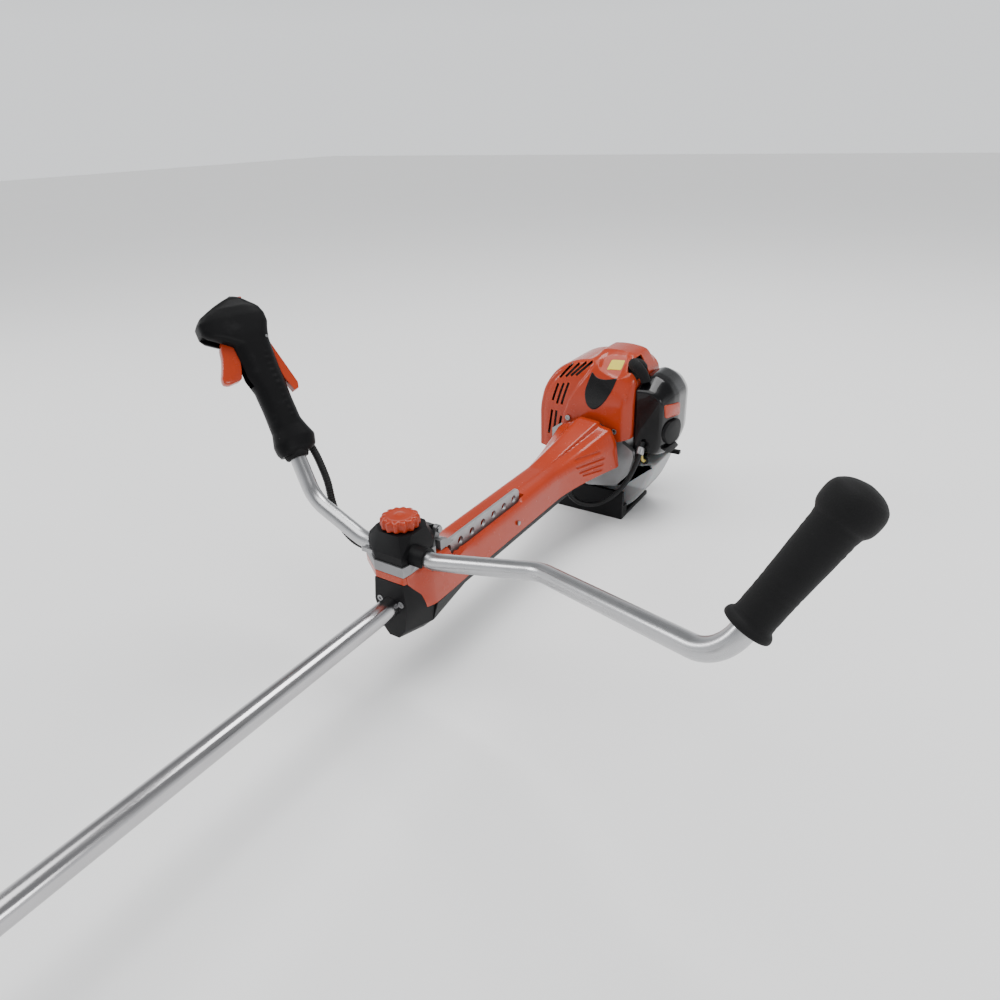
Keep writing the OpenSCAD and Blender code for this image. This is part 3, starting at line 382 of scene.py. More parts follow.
def piece(name, shape, finish, body, stands_for=(), sharp=38, lengths=None, recalc=True):
    """A mesh object from (points in mm, faces), smooth but for its sharp edges, riding on its body."""
    points, faces = shape
    mesh = bpy.data.meshes.new(name)
    mesh.from_pydata(to_frame(points).tolist(), [], faces)
    if lengths is not None:
        layer = mesh.uv_layers.new(name="grid")
        corner = np.zeros(len(mesh.loops), np.int32)
        mesh.loops.foreach_get("vertex_index", corner)
        layer.data.foreach_set("uv", lengths[corner].astype(np.float32).ravel())
    if recalc:
        work = bmesh.new()
        work.from_mesh(mesh)
        bmesh.ops.recalc_face_normals(work, faces=work.faces)
        work.to_mesh(mesh)
        work.free()
    return settle(bpy.data.objects.new(name, mesh), finish, body, stands_for, sharp)


def settle(thing, finish, body, stands_for=(), sharp=38):
    """Links the object, shades it, gives it its finish, and says what it rides on and replaces."""
    bpy.context.scene.collection.objects.link(thing)
    thing.data.shade_smooth()
    thing.data.set_sharp_from_angle(angle=radians(sharp))
    thing.data.materials.clear()
    thing.data.materials.append(finish)
    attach(thing, body)
    if stands_for:
        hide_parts(*stands_for)
    return thing


def modify(thing, kind, **settings):
    """Adds a modifier that stays live."""
    made = thing.modifiers.new(kind.lower(), kind)
    for key, value in settings.items():
        setattr(made, key, value)
    return made


def moulded(thing, width, segments=2, angle=32):
    """Rounds the sharp edges over by `width` millimetres, as a mould leaves them."""
    modify(thing, "BEVEL", width=width * MM, segments=segments, limit_method="ANGLE",
           angle_limit=radians(angle), use_clamp_overlap=True, harden_normals=False)
    modify(thing, "WEIGHTED_NORMAL", keep_sharp=True)
    return thing


# %% [markdown]
# Many parts are machined or moulded blocks whose CAD shape is right. Their copy is welded, its flat faces
# are joined, and its edges are rounded over, because no real edge is perfectly sharp and the thin
# highlight along it is what makes a part look made.

# %% Copies with moulded edges
BODY_OF = {node: body for body, nodes in frame["record"]["behaviour"]["bodies"].items() for node in nodes}


def eased(node, finish, width=0.6, segments=2, angle=32, flat=0.8):
    """A welded copy of a CAD node with its edges rounded over by `width` millimetres."""
    work = bmesh.new()
    work.from_mesh(frame["nodes"][node].data)
    bmesh.ops.remove_doubles(work, verts=work.verts, dist=2e-6)
    bmesh.ops.dissolve_limit(work, angle_limit=radians(flat), verts=work.verts, edges=work.edges)
    mesh = bpy.data.meshes.new(node + "_skin")
    work.to_mesh(mesh)
    work.free()
    if "custom_normal" in mesh.attributes:
        mesh.attributes.remove(mesh.attributes["custom_normal"])
    copy = settle(bpy.data.objects.new(node + "_skin", mesh), finish, BODY_OF[node], (node,))
    return moulded(copy, width, segments, angle) if width else copy


EASED = {
    "clamp_base": (CASTING, 0.9), "clamp_cap": (BLACK, 1.3), "front_boot": (BLACK, 1.2),
    "carrying_strip": (SHEET, 0.5), "under_housing": (BLACK, 1.0), "gear_case": (SILVER, 0.8),
    "guard_bracket": (HEAT, 0.8), "guard": (BLACK, 0.8), "line_cutter": (STEEL, 0.3),
    "head_bolts": (STEEL, 0.3), "cover_screws": (STEEL, 0.3), "throttle_screws": (STEEL, 0.2),
    "clamp_pin": (STEEL, 0.4), "engine_foot": (BLACK, 1.5), "crankcase": (SILVER, 1.0),
    "muffler": (HEAT, 3.0), "carburettor": (SILVER, 0.8), "air_filter": (FELT, 1.0),
    "choke_lever": (BLACK, 1.0), "fuel_cap": (BLACK, 0.8), "starter_handle": (BLACK, 1.2),
    "engine_cylinder": (SILVER, 0.4), "spark_plug": (CERAMIC, 0.4), "clutch_drum": (STEEL, 0.5),
    "clutch_shoes": (STEEL, 0.5), "flywheel": (SILVER, 0.5), "thrust_plate": (STEEL, 0.4),
    "starter_housing": (BLACK, 1.0), "lockout_lever": (ORANGE, 1.4), "stop_switch": (ORANGE, 1.0),
}
for node, (finish, width) in EASED.items():
    eased(node, finish, width)
print("pieces with moulded edges:", len(EASED))

# %% [markdown]
# Plain turned parts inside the tool already have their true shape. They only need the finish.

# %% Finishes on carried-over parts
CARRIED = {
    "tube_bushes": BLACK, "drive_shaft": STEEL, "pinion_gear": STEEL, "output_gear": STEEL,
    "output_shaft": STEEL, "gear_bearings": STEEL, "line_eyelets": STEEL, "crankshaft": STEEL,
    "connecting_rod": STEEL, "piston": SILVER,
}
for node, finish in CARRIED.items():
    frame["nodes"][node].data.materials.clear()
    frame["nodes"][node].data.materials.append(finish)
print("carried-over parts:", len(CARRIED))


# %% [markdown]
# Turned and moulded round parts come from a profile: pairs of height and radius, with each corner rounded
# by a small curve, carried round an axis. The axis is any direction, so the same function turns the tube,
# the grip, the knob and the head.

# %% Profiles and turning
def rounded(corners, radius, steps=5, closed=True):
    """An outline with each corner replaced by a curve from one side to the next, `radius` mm back."""
    p = np.asarray(corners, float)
    before, after = np.roll(p, 1, 0), np.roll(p, -1, 0)
    radius = np.broadcast_to(np.asarray(radius, float), len(p))[:, None]
    a, b = before - p, after - p
    la, lb = (np.linalg.norm(v, axis=1, keepdims=True) for v in (a, b))
    reach_a, reach_b = np.minimum(radius, 0.48 * la), np.minimum(radius, 0.48 * lb)
    start, end = p + a / la * reach_a, p + b / lb * reach_b
    if not closed:
        start[0] = end[0] = p[0]
        start[-1] = end[-1] = p[-1]
    t = np.linspace(0, 1, steps + 1)[None, :, None]
    curve = (1 - t) ** 2 * start[:, None] + 2 * t * (1 - t) * p[:, None] + t ** 2 * end[:, None]
    curve = curve.reshape(-1, 2)
    if closed:
        return curve
    return curve[steps:len(curve) - steps]


def turned(profile, base, axis, around=96, reach=None):
    """Carries (height, radius) pairs round an axis. reach(height, angle) may change the radius."""
    axis = np.asarray(axis, float) / np.linalg.norm(axis)
    side = np.cross(axis, (0, 0, 1) if abs(axis[2]) < 0.9 else (1, 0, 0))
    side /= np.linalg.norm(side)
    other = np.cross(axis, side)
    angle = np.linspace(0, 2 * pi, around, endpoint=False)
    height, radius = np.asarray(profile, float).T
    wide = np.broadcast_to(radius[:, None], (len(radius), around)).copy()
    if reach is not None:
        wide = wide + reach(height[:, None], angle[None, :], radius[:, None])
    ring = np.cos(angle)[:, None] * side + np.sin(angle)[:, None] * other
    return np.asarray(base, float) + height[:, None, None] * axis + wide[..., None] * ring


def grid_lengths(points):
    """UVs in metres: how far round the grid a point is, and how far along it."""
    along = np.r_[0, np.cumsum(np.linalg.norm(np.diff(points.mean(1), axis=0), axis=1))]
    step = np.linalg.norm(np.diff(points, axis=1, append=points[:, :1]), axis=2)
    around = np.cumsum(step, 1).mean(0)
    uv = np.stack(np.broadcast_arrays(around[None, :], along[:, None]), -1)
    return uv.reshape(-1, 2) * MM


# %% [markdown]
# The drive tube is one drawn tube with a polished skin. Its ends are open inside the gear case and the
# clutch housing, so its wall is carried in and out again to close the shape.

# %% Drive tube
low, high = span("drive_tube")
tube_r = (high[0] - low[0]) / 2
wall_in = tube_r - 1.5
profile = rounded([(low[1], wall_in), (low[1], tube_r), (high[1], tube_r), (high[1], wall_in)], 0.5, 3)
points = turned(profile, (0, 0, 0), (0, 1, 0), 128)
points = np.concatenate([points, points[:1]])
rows = surface(points, ends=False)
piece("drive_tube_skin", rows, BRIGHT, "tool", ("drive_tube",), lengths=grid_lengths(points))
print("drive tube, mm:", round(high[1] - low[1]))


# %% [markdown]
# The handlebar is one tube bent over formers, so its middle line is straights joined by arcs. The line is
# worked out from the corners and each bend's radius, and a ring is carried along it without twist.

# %% Paths and swept tubes
def unit(v):
    v = np.asarray(v, float)
    return v / np.linalg.norm(v)


def bent(corners, radii, steps=14):
    """The middle line of a bent tube: each corner becomes an arc that meets both of its straights."""
    p = np.asarray(corners, float)
    line = [p[0]]
    for i in range(1, len(p) - 1):
        u, v = unit(p[i] - p[i - 1]), unit(p[i + 1] - p[i])
        total = acos(np.clip(u @ v, -1, 1))
        inward = unit(v - u * (u @ v))
        centre = p[i] - u * radii[i] * tan(total / 2) + inward * radii[i]
        t = np.linspace(0, total, steps + 1)[:, None]
        line += list(centre + radii[i] * (u * np.sin(t) - inward * np.cos(t)))
    return np.array(line + [p[-1]])


def smooth(points, steps=8):
    """A Catmull-Rom curve through given points."""
    p = np.asarray(points, float)
    q = np.concatenate([p[:1], p, p[-1:]])
    t = np.linspace(0, 1, steps, endpoint=False)[None, :, None]
    a, b, c, d = (q[i:len(q) - 3 + i][:, None] for i in range(4))
    curve = 0.5 * (2 * b + (c - a) * t + (2 * a - 5 * b + 4 * c - d) * t ** 2
                   + (3 * b - a - 3 * c + d) * t ** 3)
    return np.concatenate([curve.reshape(-1, 3), p[-1:]])


def evenly(line, step):
    """The same line with a point every `step` millimetres."""
    far = np.r_[0, np.cumsum(np.linalg.norm(np.diff(line, axis=0), axis=1))]
    at = np.linspace(0, far[-1], max(2, int(far[-1] / step) + 1))
    return np.stack([np.interp(at, far, line[:, k]) for k in range(3)], 1), at


def swept(line, radius, around=48):
    """Carries a ring along a line. Each ring's side is the last one's, turned as little as it can be."""
    heading = np.gradient(line, axis=0)
    heading /= np.linalg.norm(heading, axis=1, keepdims=True)
    side = unit(np.cross(heading[0], (0, 0, 1) if abs(heading[0][2]) < 0.9 else (1, 0, 0)))
    sides = []
    for h in heading:
        side = unit(side - h * (side @ h))
        sides.append(side)
    sides = np.array(sides)
    others = np.cross(heading, sides)
    angle = np.linspace(0, 2 * pi, around, endpoint=False)
    radius = np.broadcast_to(np.asarray(radius, float), len(line))[:, None, None]
    ring = np.cos(angle)[None, :, None] * sides[:, None] + np.sin(angle)[None, :, None] * others[:, None]
    return line[:, None] + radius * ring


BAR_CORNERS = [(-255, 65, 280), (-146, 32, 104), (-58, 26, 70), (58, 26, 70), (212, 17, 110),
               (440, -100, 166), (508, -43, 294)]
BAR_BENDS = [0, 60, 60, 60, 60, 45, 0]
BAR_R = 11.0
bar_line, bar_far = evenly(bent(BAR_CORNERS, BAR_BENDS), 4.0)
bar_grid = swept(bar_line, BAR_R, 64)
piece("handlebar_skin", surface(bar_grid), SATIN, "handlebar", ("handlebar_tube",),
      lengths=grid_lengths(bar_grid))
print("handlebar tube, mm along its bends:", round(bar_far[-1]))

# %% [markdown]
# The plain grip is soft rubber pushed over the bar's end: a flange, a sleeve that swells a little towards
# the end, and a mushroom cap that stops the hand. Faint rings are left where the mould's parts met.

# %% Plain grip
grip_axis = unit(np.subtract(BAR_CORNERS[6], BAR_CORNERS[5]))
grip_base = np.add(BAR_CORNERS[5], grip_axis * 34)
grip_len = np.linalg.norm(np.subtract(BAR_CORNERS[6], BAR_CORNERS[5])) - 34
grip_r = 17.5


def cap_flat(height, angle, radius):
    """Presses one small flat into the cap's front edge and a faint ripple into the sleeve."""
    on_cap = np.clip((height - grip_len + 14) / 4, 0, 1)
    flat = np.maximum(radius * np.cos(angle - 3.5) - 21.5, 0)
    ripple = 0.12 * np.sin(height * 0.9) * (radius < 21) * (height > 12)
    return -on_cap * flat - ripple


corners = [(-0.3, BAR_R + 0.05), (-0.3, grip_r + 3.5), (3.5, grip_r + 4.3), (7, grip_r + 2.8),
           (9, grip_r - 0.2), (40, grip_r + 0.1), (grip_len - 30, grip_r + 2.0),
           (grip_len - 16, grip_r + 2.4),
           (grip_len - 11, grip_r + 6.4), (grip_len - 4, grip_r + 7.6), (grip_len + 5, grip_r + 7.4),
           (grip_len + 12, grip_r + 4.5), (grip_len + 17.5, grip_r - 4), (grip_len + 19.6, 4),
           (grip_len + 19.9, 0.01)]
profile = rounded(corners, 6.0, 6, closed=False)
sleeve = np.linspace(profile[:-1], profile[1:], 4, endpoint=False).transpose(1, 0, 2).reshape(-1, 2)
points = turned(np.concatenate([sleeve, profile[-1:]]), grip_base, grip_axis, 96, cap_flat)
piece("plain_grip_skin", surface(points), RUBBER, "handlebar", ("plain_grip",), sharp=60)
print("plain grip, mm:", round(grip_len))

# %% [markdown]
# The knob is turned by hand, so its rim has fourteen finger hollows. The radius of a turned profile is
# cut back by a rounded wave, and the top is a shallow dome with a raised middle.

# %% Clamp knob
low, high = span("clamp_knob")
knob_x, knob_y = (low[0] + high[0]) / 2, (low[1] + high[1]) / 2
knob_low = span("clamp_cap")[1][2] + 0.3
knob_r = (high[0] - low[0]) / 2
KNOB_LOBES = 14


def lobes(height, angle, radius):
    """Cuts rounded hollows into the rim: deepest half way between two lobes, none near the middle."""
    wave = (0.5 - 0.5 * np.cos(angle * KNOB_LOBES)) ** 1.2
    return -3.0 * wave * np.clip((radius - knob_r + 9) / 6, 0, 1)


corners = [(0, 0.01), (0, knob_r - 2.5), (1.5, knob_r), (11.5, knob_r), (14.6, knob_r - 2.5),
           (15.6, knob_r - 7), (15.0, knob_r - 10), (15.2, 8), (15.9, 5), (15.9, 0.01)]
profile = rounded(corners, 2.2, 6, closed=False)
points = turned(profile, (knob_x, knob_y, knob_low), (0, 0, 1), KNOB_LOBES * 16, lobes)
stud_r, stud_len = 3.95, knob_low - low[2] + 7
corners = [(0, 0.01), (0, stud_r), (stud_len, stud_r), (stud_len, 0.01)]
stud = turned(rounded(corners, 0.6, 3, closed=False), (knob_x, knob_y, low[2]), (0, 0, 1), 48)
piece("clamp_knob_skin", surface(points), ORANGE, "knob", ("clamp_knob",), sharp=50)
piece("clamp_stud_skin", surface(stud), STEEL, "knob")
print("knob, mm across:", round(2 * knob_r, 1))

# %% [markdown]
# Some shells are hollow and cut through by slots. The blank is a closed surface or an open skin; Solidify
# gives it a wall, a Boolean takes the cutters out, and the result is kept as a plain mesh.

# %% Shells with openings
def mesh_of(name, shape, place=to_frame):
    """A mesh from (points, faces), with doubled points joined and the faces turned outwards."""
    points, faces = shape
    mesh = bpy.data.meshes.new(name)
    mesh.from_pydata(place(points).tolist(), [], faces)
    work = bmesh.new()
    work.from_mesh(mesh)
    bmesh.ops.remove_doubles(work, verts=work.verts, dist=2e-5)
    bmesh.ops.dissolve_degenerate(work, edges=work.edges, dist=1e-5)
    bmesh.ops.recalc_face_normals(work, faces=work.faces)
    work.to_mesh(mesh)
    work.free()
    return mesh


def extruded(outline, axis, low, high):
    """A prism: the outline gives the other two coordinates in their x, y, z order."""
    flat = np.asarray(outline, float)
    rows = []
    for level in (low, high):
        rows.append(np.insert(flat, axis, level, 1))
    return surface(np.array(rows))


def slot_outline(a, b, width):
    """A slot's outline from a to b, with square corners."""
    a, b = np.asarray(a, float), np.asarray(b, float)
    across = np.array([-(b - a)[1], (b - a)[0]]) / np.linalg.norm(b - a) * width / 2
    return [a + across, b + across, b - across, a - across]


def outward(mesh, flip):
    """Turns an open skin's faces so that its wall grows inwards."""
    if flip:
        mesh.flip_normals()
    return mesh


def carved(name, mesh, wall, cutters):
    """The skin with a wall `wall` mm thick, less the cutters."""
    scene = bpy.context.scene
    blank = bpy.data.objects.new(name + "_blank", mesh)
    scene.collection.objects.link(blank)
    if wall:
        modify(blank, "SOLIDIFY", thickness=wall * MM, offset=-1.0, use_rim=True, use_quality_normals=True)
    tools = []
    for k, cutter in enumerate(cutters):
        tool = bpy.data.objects.new(f"{name}_cutter_{k}", mesh_of("cutter", cutter))
        scene.collection.objects.link(tool)
        modify(blank, "BOOLEAN", operation="DIFFERENCE", solver="EXACT", object=tool)
        blank.modifiers[-1].name = f"cut_{k}"
        tools.append(tool)
    view = bpy.context.evaluated_depsgraph_get()
    made = bpy.data.meshes.new_from_object(blank.evaluated_get(view))
    made.name = name
    for thing in tools + [blank]:
        bpy.data.objects.remove(thing)
    return made


def span_step(value, low, high):
    """0 below low, 1 above high, smooth between, for arrays."""
    t = np.clip((value - low) / (high - low), 0, 1)
    return t * t * (3 - 2 * t)


def resampled(line, count):
    """The same open line with `count` evenly spaced points."""
    line = np.asarray(line, float)
    far = np.r_[0, np.cumsum(np.linalg.norm(np.diff(line, axis=0), axis=1))]
    at = np.linspace(0, far[-1], count)
    return np.stack([np.interp(at, far, line[:, k]) for k in range(line.shape[1])], 1)


# %% [markdown]
# The engine cover is the part the eye goes to. Its outline is seen along the tube. Behind it the wall runs
# back; in front of it the face is ruled down to the line where it meets the bell. The face's depth is a
# function of the place on it: a roll at the rim, a lean-back at the top, a raised middle panel and a crease
# under the hump.

# %% Engine cover
COVER = [(-108, -8), (-108, 70), (-98, 112), (-78, 142), (-45, 160), (20, 168), (60, 163), (79, 146),
         (80.2, 128), (80.2, 36)]
COVER_BASE = [(-108, -8), (-60, -14), (30, 18), (80.2, 36)]
PANEL_EDGE = [(-62, -20), (-60, 20), (-52, 66), (-41, 95), (-27, 119), (-11, 143), (0, 166), (6, 190)]
CREASE = [(2, 166), (11, 153), (29, 145), (47, 141), (66, 150), (78, 160)]
COVER_FRONT, COVER_BACK = 574.0, 700.0
cover_rim = rounded(COVER, [0, 14, 18, 16, 20, 24, 16, 12, 8, 0], 8, closed=False)


def edge_distance(x, z):
    """How far each point is from the cover's outline."""
    best = np.full(np.shape(x), 1e9)
    for a, b in zip(cover_rim[:-1], cover_rim[1:]):
        run = b - a
        if run @ run < 1e-9:
            continue
        t = np.clip(((x - a[0]) * run[0] + (z - a[1]) * run[1]) / (run @ run), 0, 1)
        best = np.minimum(best, np.hypot(x - a[0] - t * run[0], z - a[1] - t * run[1]))
    return best


def lean(z):
    """How far the face leans back towards the top."""
    return 20 * np.clip((z - 92) / 74, 0, 1) ** 1.6


def face_depth(x, z):
    """The station along the tube of the cover's face at (x, z)."""
    far = edge_distance(x, z)
    roll = 14 * (1 - np.sqrt(np.maximum(1 - (1 - np.clip(far / 22, 0, 1)) ** 2, 0)))
    edge = np.asarray(PANEL_EDGE, float)
    side = x - np.interp(z, edge[:, 1], edge[:, 0])
    panel = 3.2 * (1 - span_step(side, -1.6, 1.6)) * span_step(far, 3, 12)
    line = np.asarray(CREASE, float)
    above = np.maximum(z - np.interp(x, line[:, 0], line[:, 1]), 0)
    inside = span_step(x, -14, 6) * (1 - span_step(x, 68, 80))
    crease = (2.0 * span_step(above, 0, 3) + 1.05 * above) * inside
    return COVER_FRONT + roll + lean(z) + panel + crease


def hump(x, y, z):
    """The raised middle over the cylinder."""
    wide = span_step(x, -22, 0) * (1 - span_step(x, 58, 79))
    long = np.clip((y - 588) / 46, 0, 1) * (1 - span_step(y, 684, 699))
    return 12.5 * wide * long * span_step(z, 138, 160)


rim = resampled(cover_rim, 190)
base = resampled(COVER_BASE, 190)
start = face_depth(rim[:, 0], rim[:, 1])
rows = []
for t in np.r_[1, np.linspace(0.99, 0.02, 40)]:
    y = start + t * (COVER_BACK - start)
    rows.append(np.stack([rim[:, 0], y, rim[:, 1] + hump(rim[:, 0], y, rim[:, 1])], 1))
for f in np.r_[0, np.linspace(0.012, 0.2, 22), np.linspace(0.215, 1, 56)]:
    flat = rim + (base - rim) * f
    deep = face_depth(flat[:, 0], flat[:, 1])
    rows.append(np.stack([flat[:, 0], deep, flat[:, 1] + hump(flat[:, 0], deep, flat[:, 1])], 1))
cover_rows = np.array(rows)
skin = mesh_of("engine_cover_skin", surface(cover_rows, wrap=False, ends=False))
middle_face = max(skin.polygons, key=lambda p: p.area * (abs(p.normal.y) > 0.9))
outward(skin, middle_face.normal.y > 0)


def circle(x, y, radius, around=32):
    """Points round a circle, for a cutter's outline."""
    angle = np.linspace(0, 2 * pi, around, endpoint=False)
    return np.stack([x + radius * np.cos(angle), y + radius * np.sin(angle)], 1)


def louvre(low, high, width, start, stop):
    """A cutter for one slot of the face, from one station along the tube to another."""
    return extruded(slot_outline(low, high, width), 1, start, stop)


FAN_R = 62.0
LOUVRES = [
    (4.6, 570, 624, [((-67, 128), (-46, 155)), ((-55, 131), (-33, 157)), ((-45, 134), (-20, 160)),
                     ((-35, 136), (-8, 163))]),
    (4.8, 565, 590, [((-78, 84), (-68, 118)), ((-69, 79), (-57, 120)), ((-59.5, 79), (-47, 122))]),
    (5.0, 565, 590, [((-86, 17), (-79, 66)), ((-76, 15), (-69.5, 66)), ((-67, 16), (-59.5, 57))]),
]
cuts = [extruded(circle(0, 0, FAN_R, 72), 1, 560, 600)]
for width, start_y, stop_y, slots in LOUVRES:
    cuts += [louvre(low, high, width, start_y, stop_y) for low, high in slots]
for y in 606 + 14 * np.arange(6):
    cuts.append(extruded([(y, 22), (y + 7, 22), (y + 7, 64), (y, 64)], 0, -116, -98))
capsule = rounded([(55, 163), (66, 176), (79, 172), (91, 156), (93, 137), (76, 138), (61, 150)], 9, 6)
cuts.append(extruded(capsule, 1, 596, 652))
mesh = carved("engine_cover_skin", skin, 2.4, cuts)
cover = settle(bpy.data.objects.new("engine_cover_skin", mesh), ORANGE, "tool",
               ("engine_cover",), 34)
moulded(cover, 0.5, 2, 50)
print("engine cover, faces:", len(mesh.polygons))

# %% [markdown]
# A dark sheet lines the cover and stands in for the shade inside it: it is painted shade, and it is what
# shows dark behind the louvres. It is the cover's own grid drawn in.

# %% Dark liner as painted shade
LINER_MIDDLE, LINER_SCALE, LINER_GAP = np.array([-14.0, 78.0]), 0.925, 9.0
drawn = cover_rows[:-30:2, ::2].copy()
drawn[..., [0, 2]] = LINER_MIDDLE + (drawn[..., [0, 2]] - LINER_MIDDLE) * LINER_SCALE
drawn[..., 1] = np.clip(drawn[..., 1] + LINER_GAP, 0, COVER_BACK - 3)
skin = mesh_of("cooling_shroud", surface(drawn, wrap=False, ends=False))
# painted shade: a dark sheet inside the cover, so that the louvres show dark
settle(bpy.data.objects.new("cooling_shroud", carved("cooling_shroud", skin, 1.0, [])), HEAT, "tool")
print("shroud, grid:", drawn.shape[:2])

# %% [markdown]
# The badge is a blank shield of black film that lies on the cover's face: its own grid is bent to the face's
# depth. The sticker lies on the hump in the same way, and a small moulded eye sits beside the crease. None
# of them carries any mark.

# %% Badge, sticker and eye
def laid_on(outline, thick, lift=(0, -1, 0), count=26):
    """A thin plate on the cover: rings from the outline to its middle, front and back."""
    lift = np.array(lift, float)
    rim_points = resampled(np.concatenate([outline, outline[:1]]), 97)[:-1]
    centre = rim_points.mean(0)
    front, back = [], []
    for f in np.linspace(1, 0.02, count):
        flat = centre + (rim_points - centre) * f
        y = face_depth(flat[:, 0], flat[:, 1])
        spot = np.stack([flat[:, 0], y, flat[:, 1] + hump(flat[:, 0], y, flat[:, 1])], 1)
        front.append(spot + lift * thick * (1 - 0.35 * (f > 0.985)))
        back.append(spot - lift * 0.6)
    return surface(np.array(front[::-1] + back))


shield = rounded([(-3, 148), (7, 139), (24, 137), (47, 143), (41, 122), (29, 99), (15, 84), (4, 81), (-7, 90),
                  (-12, 112)], [2.5, 8, 10, 2.5, 8, 10, 9, 9, 9, 10], 8)
piece("badge", laid_on(shield, 0.9), BADGE, "tool", sharp=60)
eye = rounded([(62, 119), (70, 119), (70, 109), (62, 109)], 5, 6)
piece("dimple", laid_on(eye, 1.1, count=8), ORANGE, "tool")
label = rounded([(22, 151.5), (46, 151), (47, 159), (24, 160)], 1.5, 4)
piece("sticker", laid_on(label, 0.5, (0, -0.62, 0.78)), STICKER, "tool", sharp=60)
print("badge, mm wide:", round(float(np.ptp(shield[:, 0])), 1))

# %% [markdown]
# The tube housing is one long loft. Eleven points describe its section at each station: the wide shoulder
# under the clamp, the slim box the strip stands on, and the bell at the engine. Each point opens towards the
# bell at its own pace, which leaves the ridges on top. In front of the first section, the right wall runs
# on as a cheek that hugs the boot. The trough under the strip and the grip grooves are pushed into the grid.

# %% Tube housing
SHOULDER = [(-38, -12), (-39, 12), (-46, 28), (-57, 38.5), (-57.6, 46), (-55, 49.7), (4, 49.7), (5, 49.7),
            (27.5, 49.7), (35.6, 34), (36.4, -12)]
SLIM = [(-35, -12), (-33.6, 8), (-32, 24), (-28, 29), (-25, 32), (-21.5, 34), (4, 34), (5.5, 33.6), (23, 34),
        (32, 24), (35, -12)]
BELL = [(-67, -12), (-64, 22), (-51, 47), (-27, 58), (-21, 62), (-11, 70), (26, 66.5), (29, 60.5), (51, 56),
        (62, 30), (67.5, -12)]
PACE = [1.35, 1.35, 1.3, 1.3, 1.3, 1.3, 1.7, 2.2, 2.0, 1.6, 1.5]
CORNER = [0, 14, 6, 3, 2, 5, 3, 2.2, 6, 8, 0]
BELL_Y = 560.0
WALL_Y = 50.3


def housing_section(y):
    """The section's eleven corners at station y."""
    shoulder, slim, bell = (np.array(p, float) for p in (SHOULDER, SLIM, BELL))
    back = span_step(y, 78, 152)
    t = np.clip((y - 392) / (BELL_Y - 8 - 392), 0, 1) ** np.array(PACE)[:, None]
    return (shoulder * (1 - back) + slim * back) * (1 - t) + bell * t


stations = np.r_[WALL_Y, np.arange(52, 86, 2.0), 86.6, 88.6, np.arange(91, 299, 2.6), 299, 301, 303,
                 np.arange(306, 392, 4.0), np.arange(392, 558, 2.0), 558, 560]
grid = []
for y in stations:
    line = rounded(housing_section(y), CORNER, 5, closed=False)
    grid.append(resampled(line, 150))
cheek = grid[0]
reach = np.interp(cheek[:, 1], [-15, 13, 37.5, 50], [36, 26, 6, 4])
cheek_front = WALL_Y + span_step(cheek[:, 0], 10, 22) * (reach - WALL_Y)


def boot_half(y, z):
    """Half the boot's width at (y, z)."""
    front = np.interp(z, [-48, -34, 4, 38], [8, 19, 26, 22])
    back = np.interp(z, [-60, -44, -4, 38], [10, 26, 35, 34])
    return front + (back - front) * y / 50


ahead, ahead_y = [], []
for t in np.linspace(0, 1, 14, endpoint=False):
    y = cheek_front + (WALL_Y - cheek_front) * t
    tight = np.maximum(boot_half(y, cheek[:, 1]) + 0.9, np.where(cheek[:, 1] > 26, 27.4, 0))
    x = cheek[:, 0] + (tight - cheek[:, 0]) * (1 - t) * span_step(cheek[:, 0], 24, 28)
    ahead.append(np.stack([x, cheek[:, 1]], 1))
    ahead_y.append(y)
grid = np.array(ahead + grid)
x, z = grid[..., 0], grid[..., 1]
y = np.concatenate([ahead_y, np.broadcast_to(stations[:, None], (len(stations), x.shape[1]))])
trough = span_step(x, 9, 10.2) * (1 - span_step(x, 21, 22.2)) * span_step(y, 86.6, 88.6) \
    * (1 - span_step(y, 299, 301))
ledge = span_step(x, 20.6, 22) * span_step(y, 94, 97) * (1 - span_step(y, 284, 288))
z = np.where(z > 20, z - np.maximum(z - 20.6, 0) * trough, z)
z = np.where(z > 28.5, z - (z - 28.5) * ledge * (1 - trough), z)
push = np.zeros_like(x)
GROOVES = [((458, 31), (514, 29)), ((454, 21), (522, 16)), ((459, 11), (518, 6)), ((468, 3), (514, -3))]
for (y0, z0), (y1, z1) in GROOVES:
    t = np.clip(((y - y0) * (y1 - y0) + (z - z0) * (z1 - z0)) / ((y1 - y0) ** 2 + (z1 - z0) ** 2), 0, 1)
    far = np.hypot(y - y0 - t * (y1 - y0), z - z0 - t * (z1 - z0))
    push = np.maximum(push, (1 - span_step(far, 1.2, 3.2)) * (x > 20))
x = x - 2.4 * push
skin = mesh_of("tube_housing_skin", surface(np.stack([x, y, z], -1), wrap=False, ends=False))
top_face = max(skin.polygons, key=lambda p: p.area * (abs(p.normal.z) > 0.9))
outward(skin, top_face.normal.z < 0)
mesh = carved("tube_housing_skin", skin, 2.6, [extruded(circle(57, 41, 5.2), 0, -70, -30)])
settle(bpy.data.objects.new("tube_housing_skin", mesh), ORANGE, "tool",
       ("tube_housing",), 30)
print("tube housing, faces:", len(mesh.polygons))

# %% [markdown]
# The clamp stands on a thin step of the housing that repeats the clamp's own outline. It is one closed
# stack of the same ring, drawn in a little at its top and bottom edge.

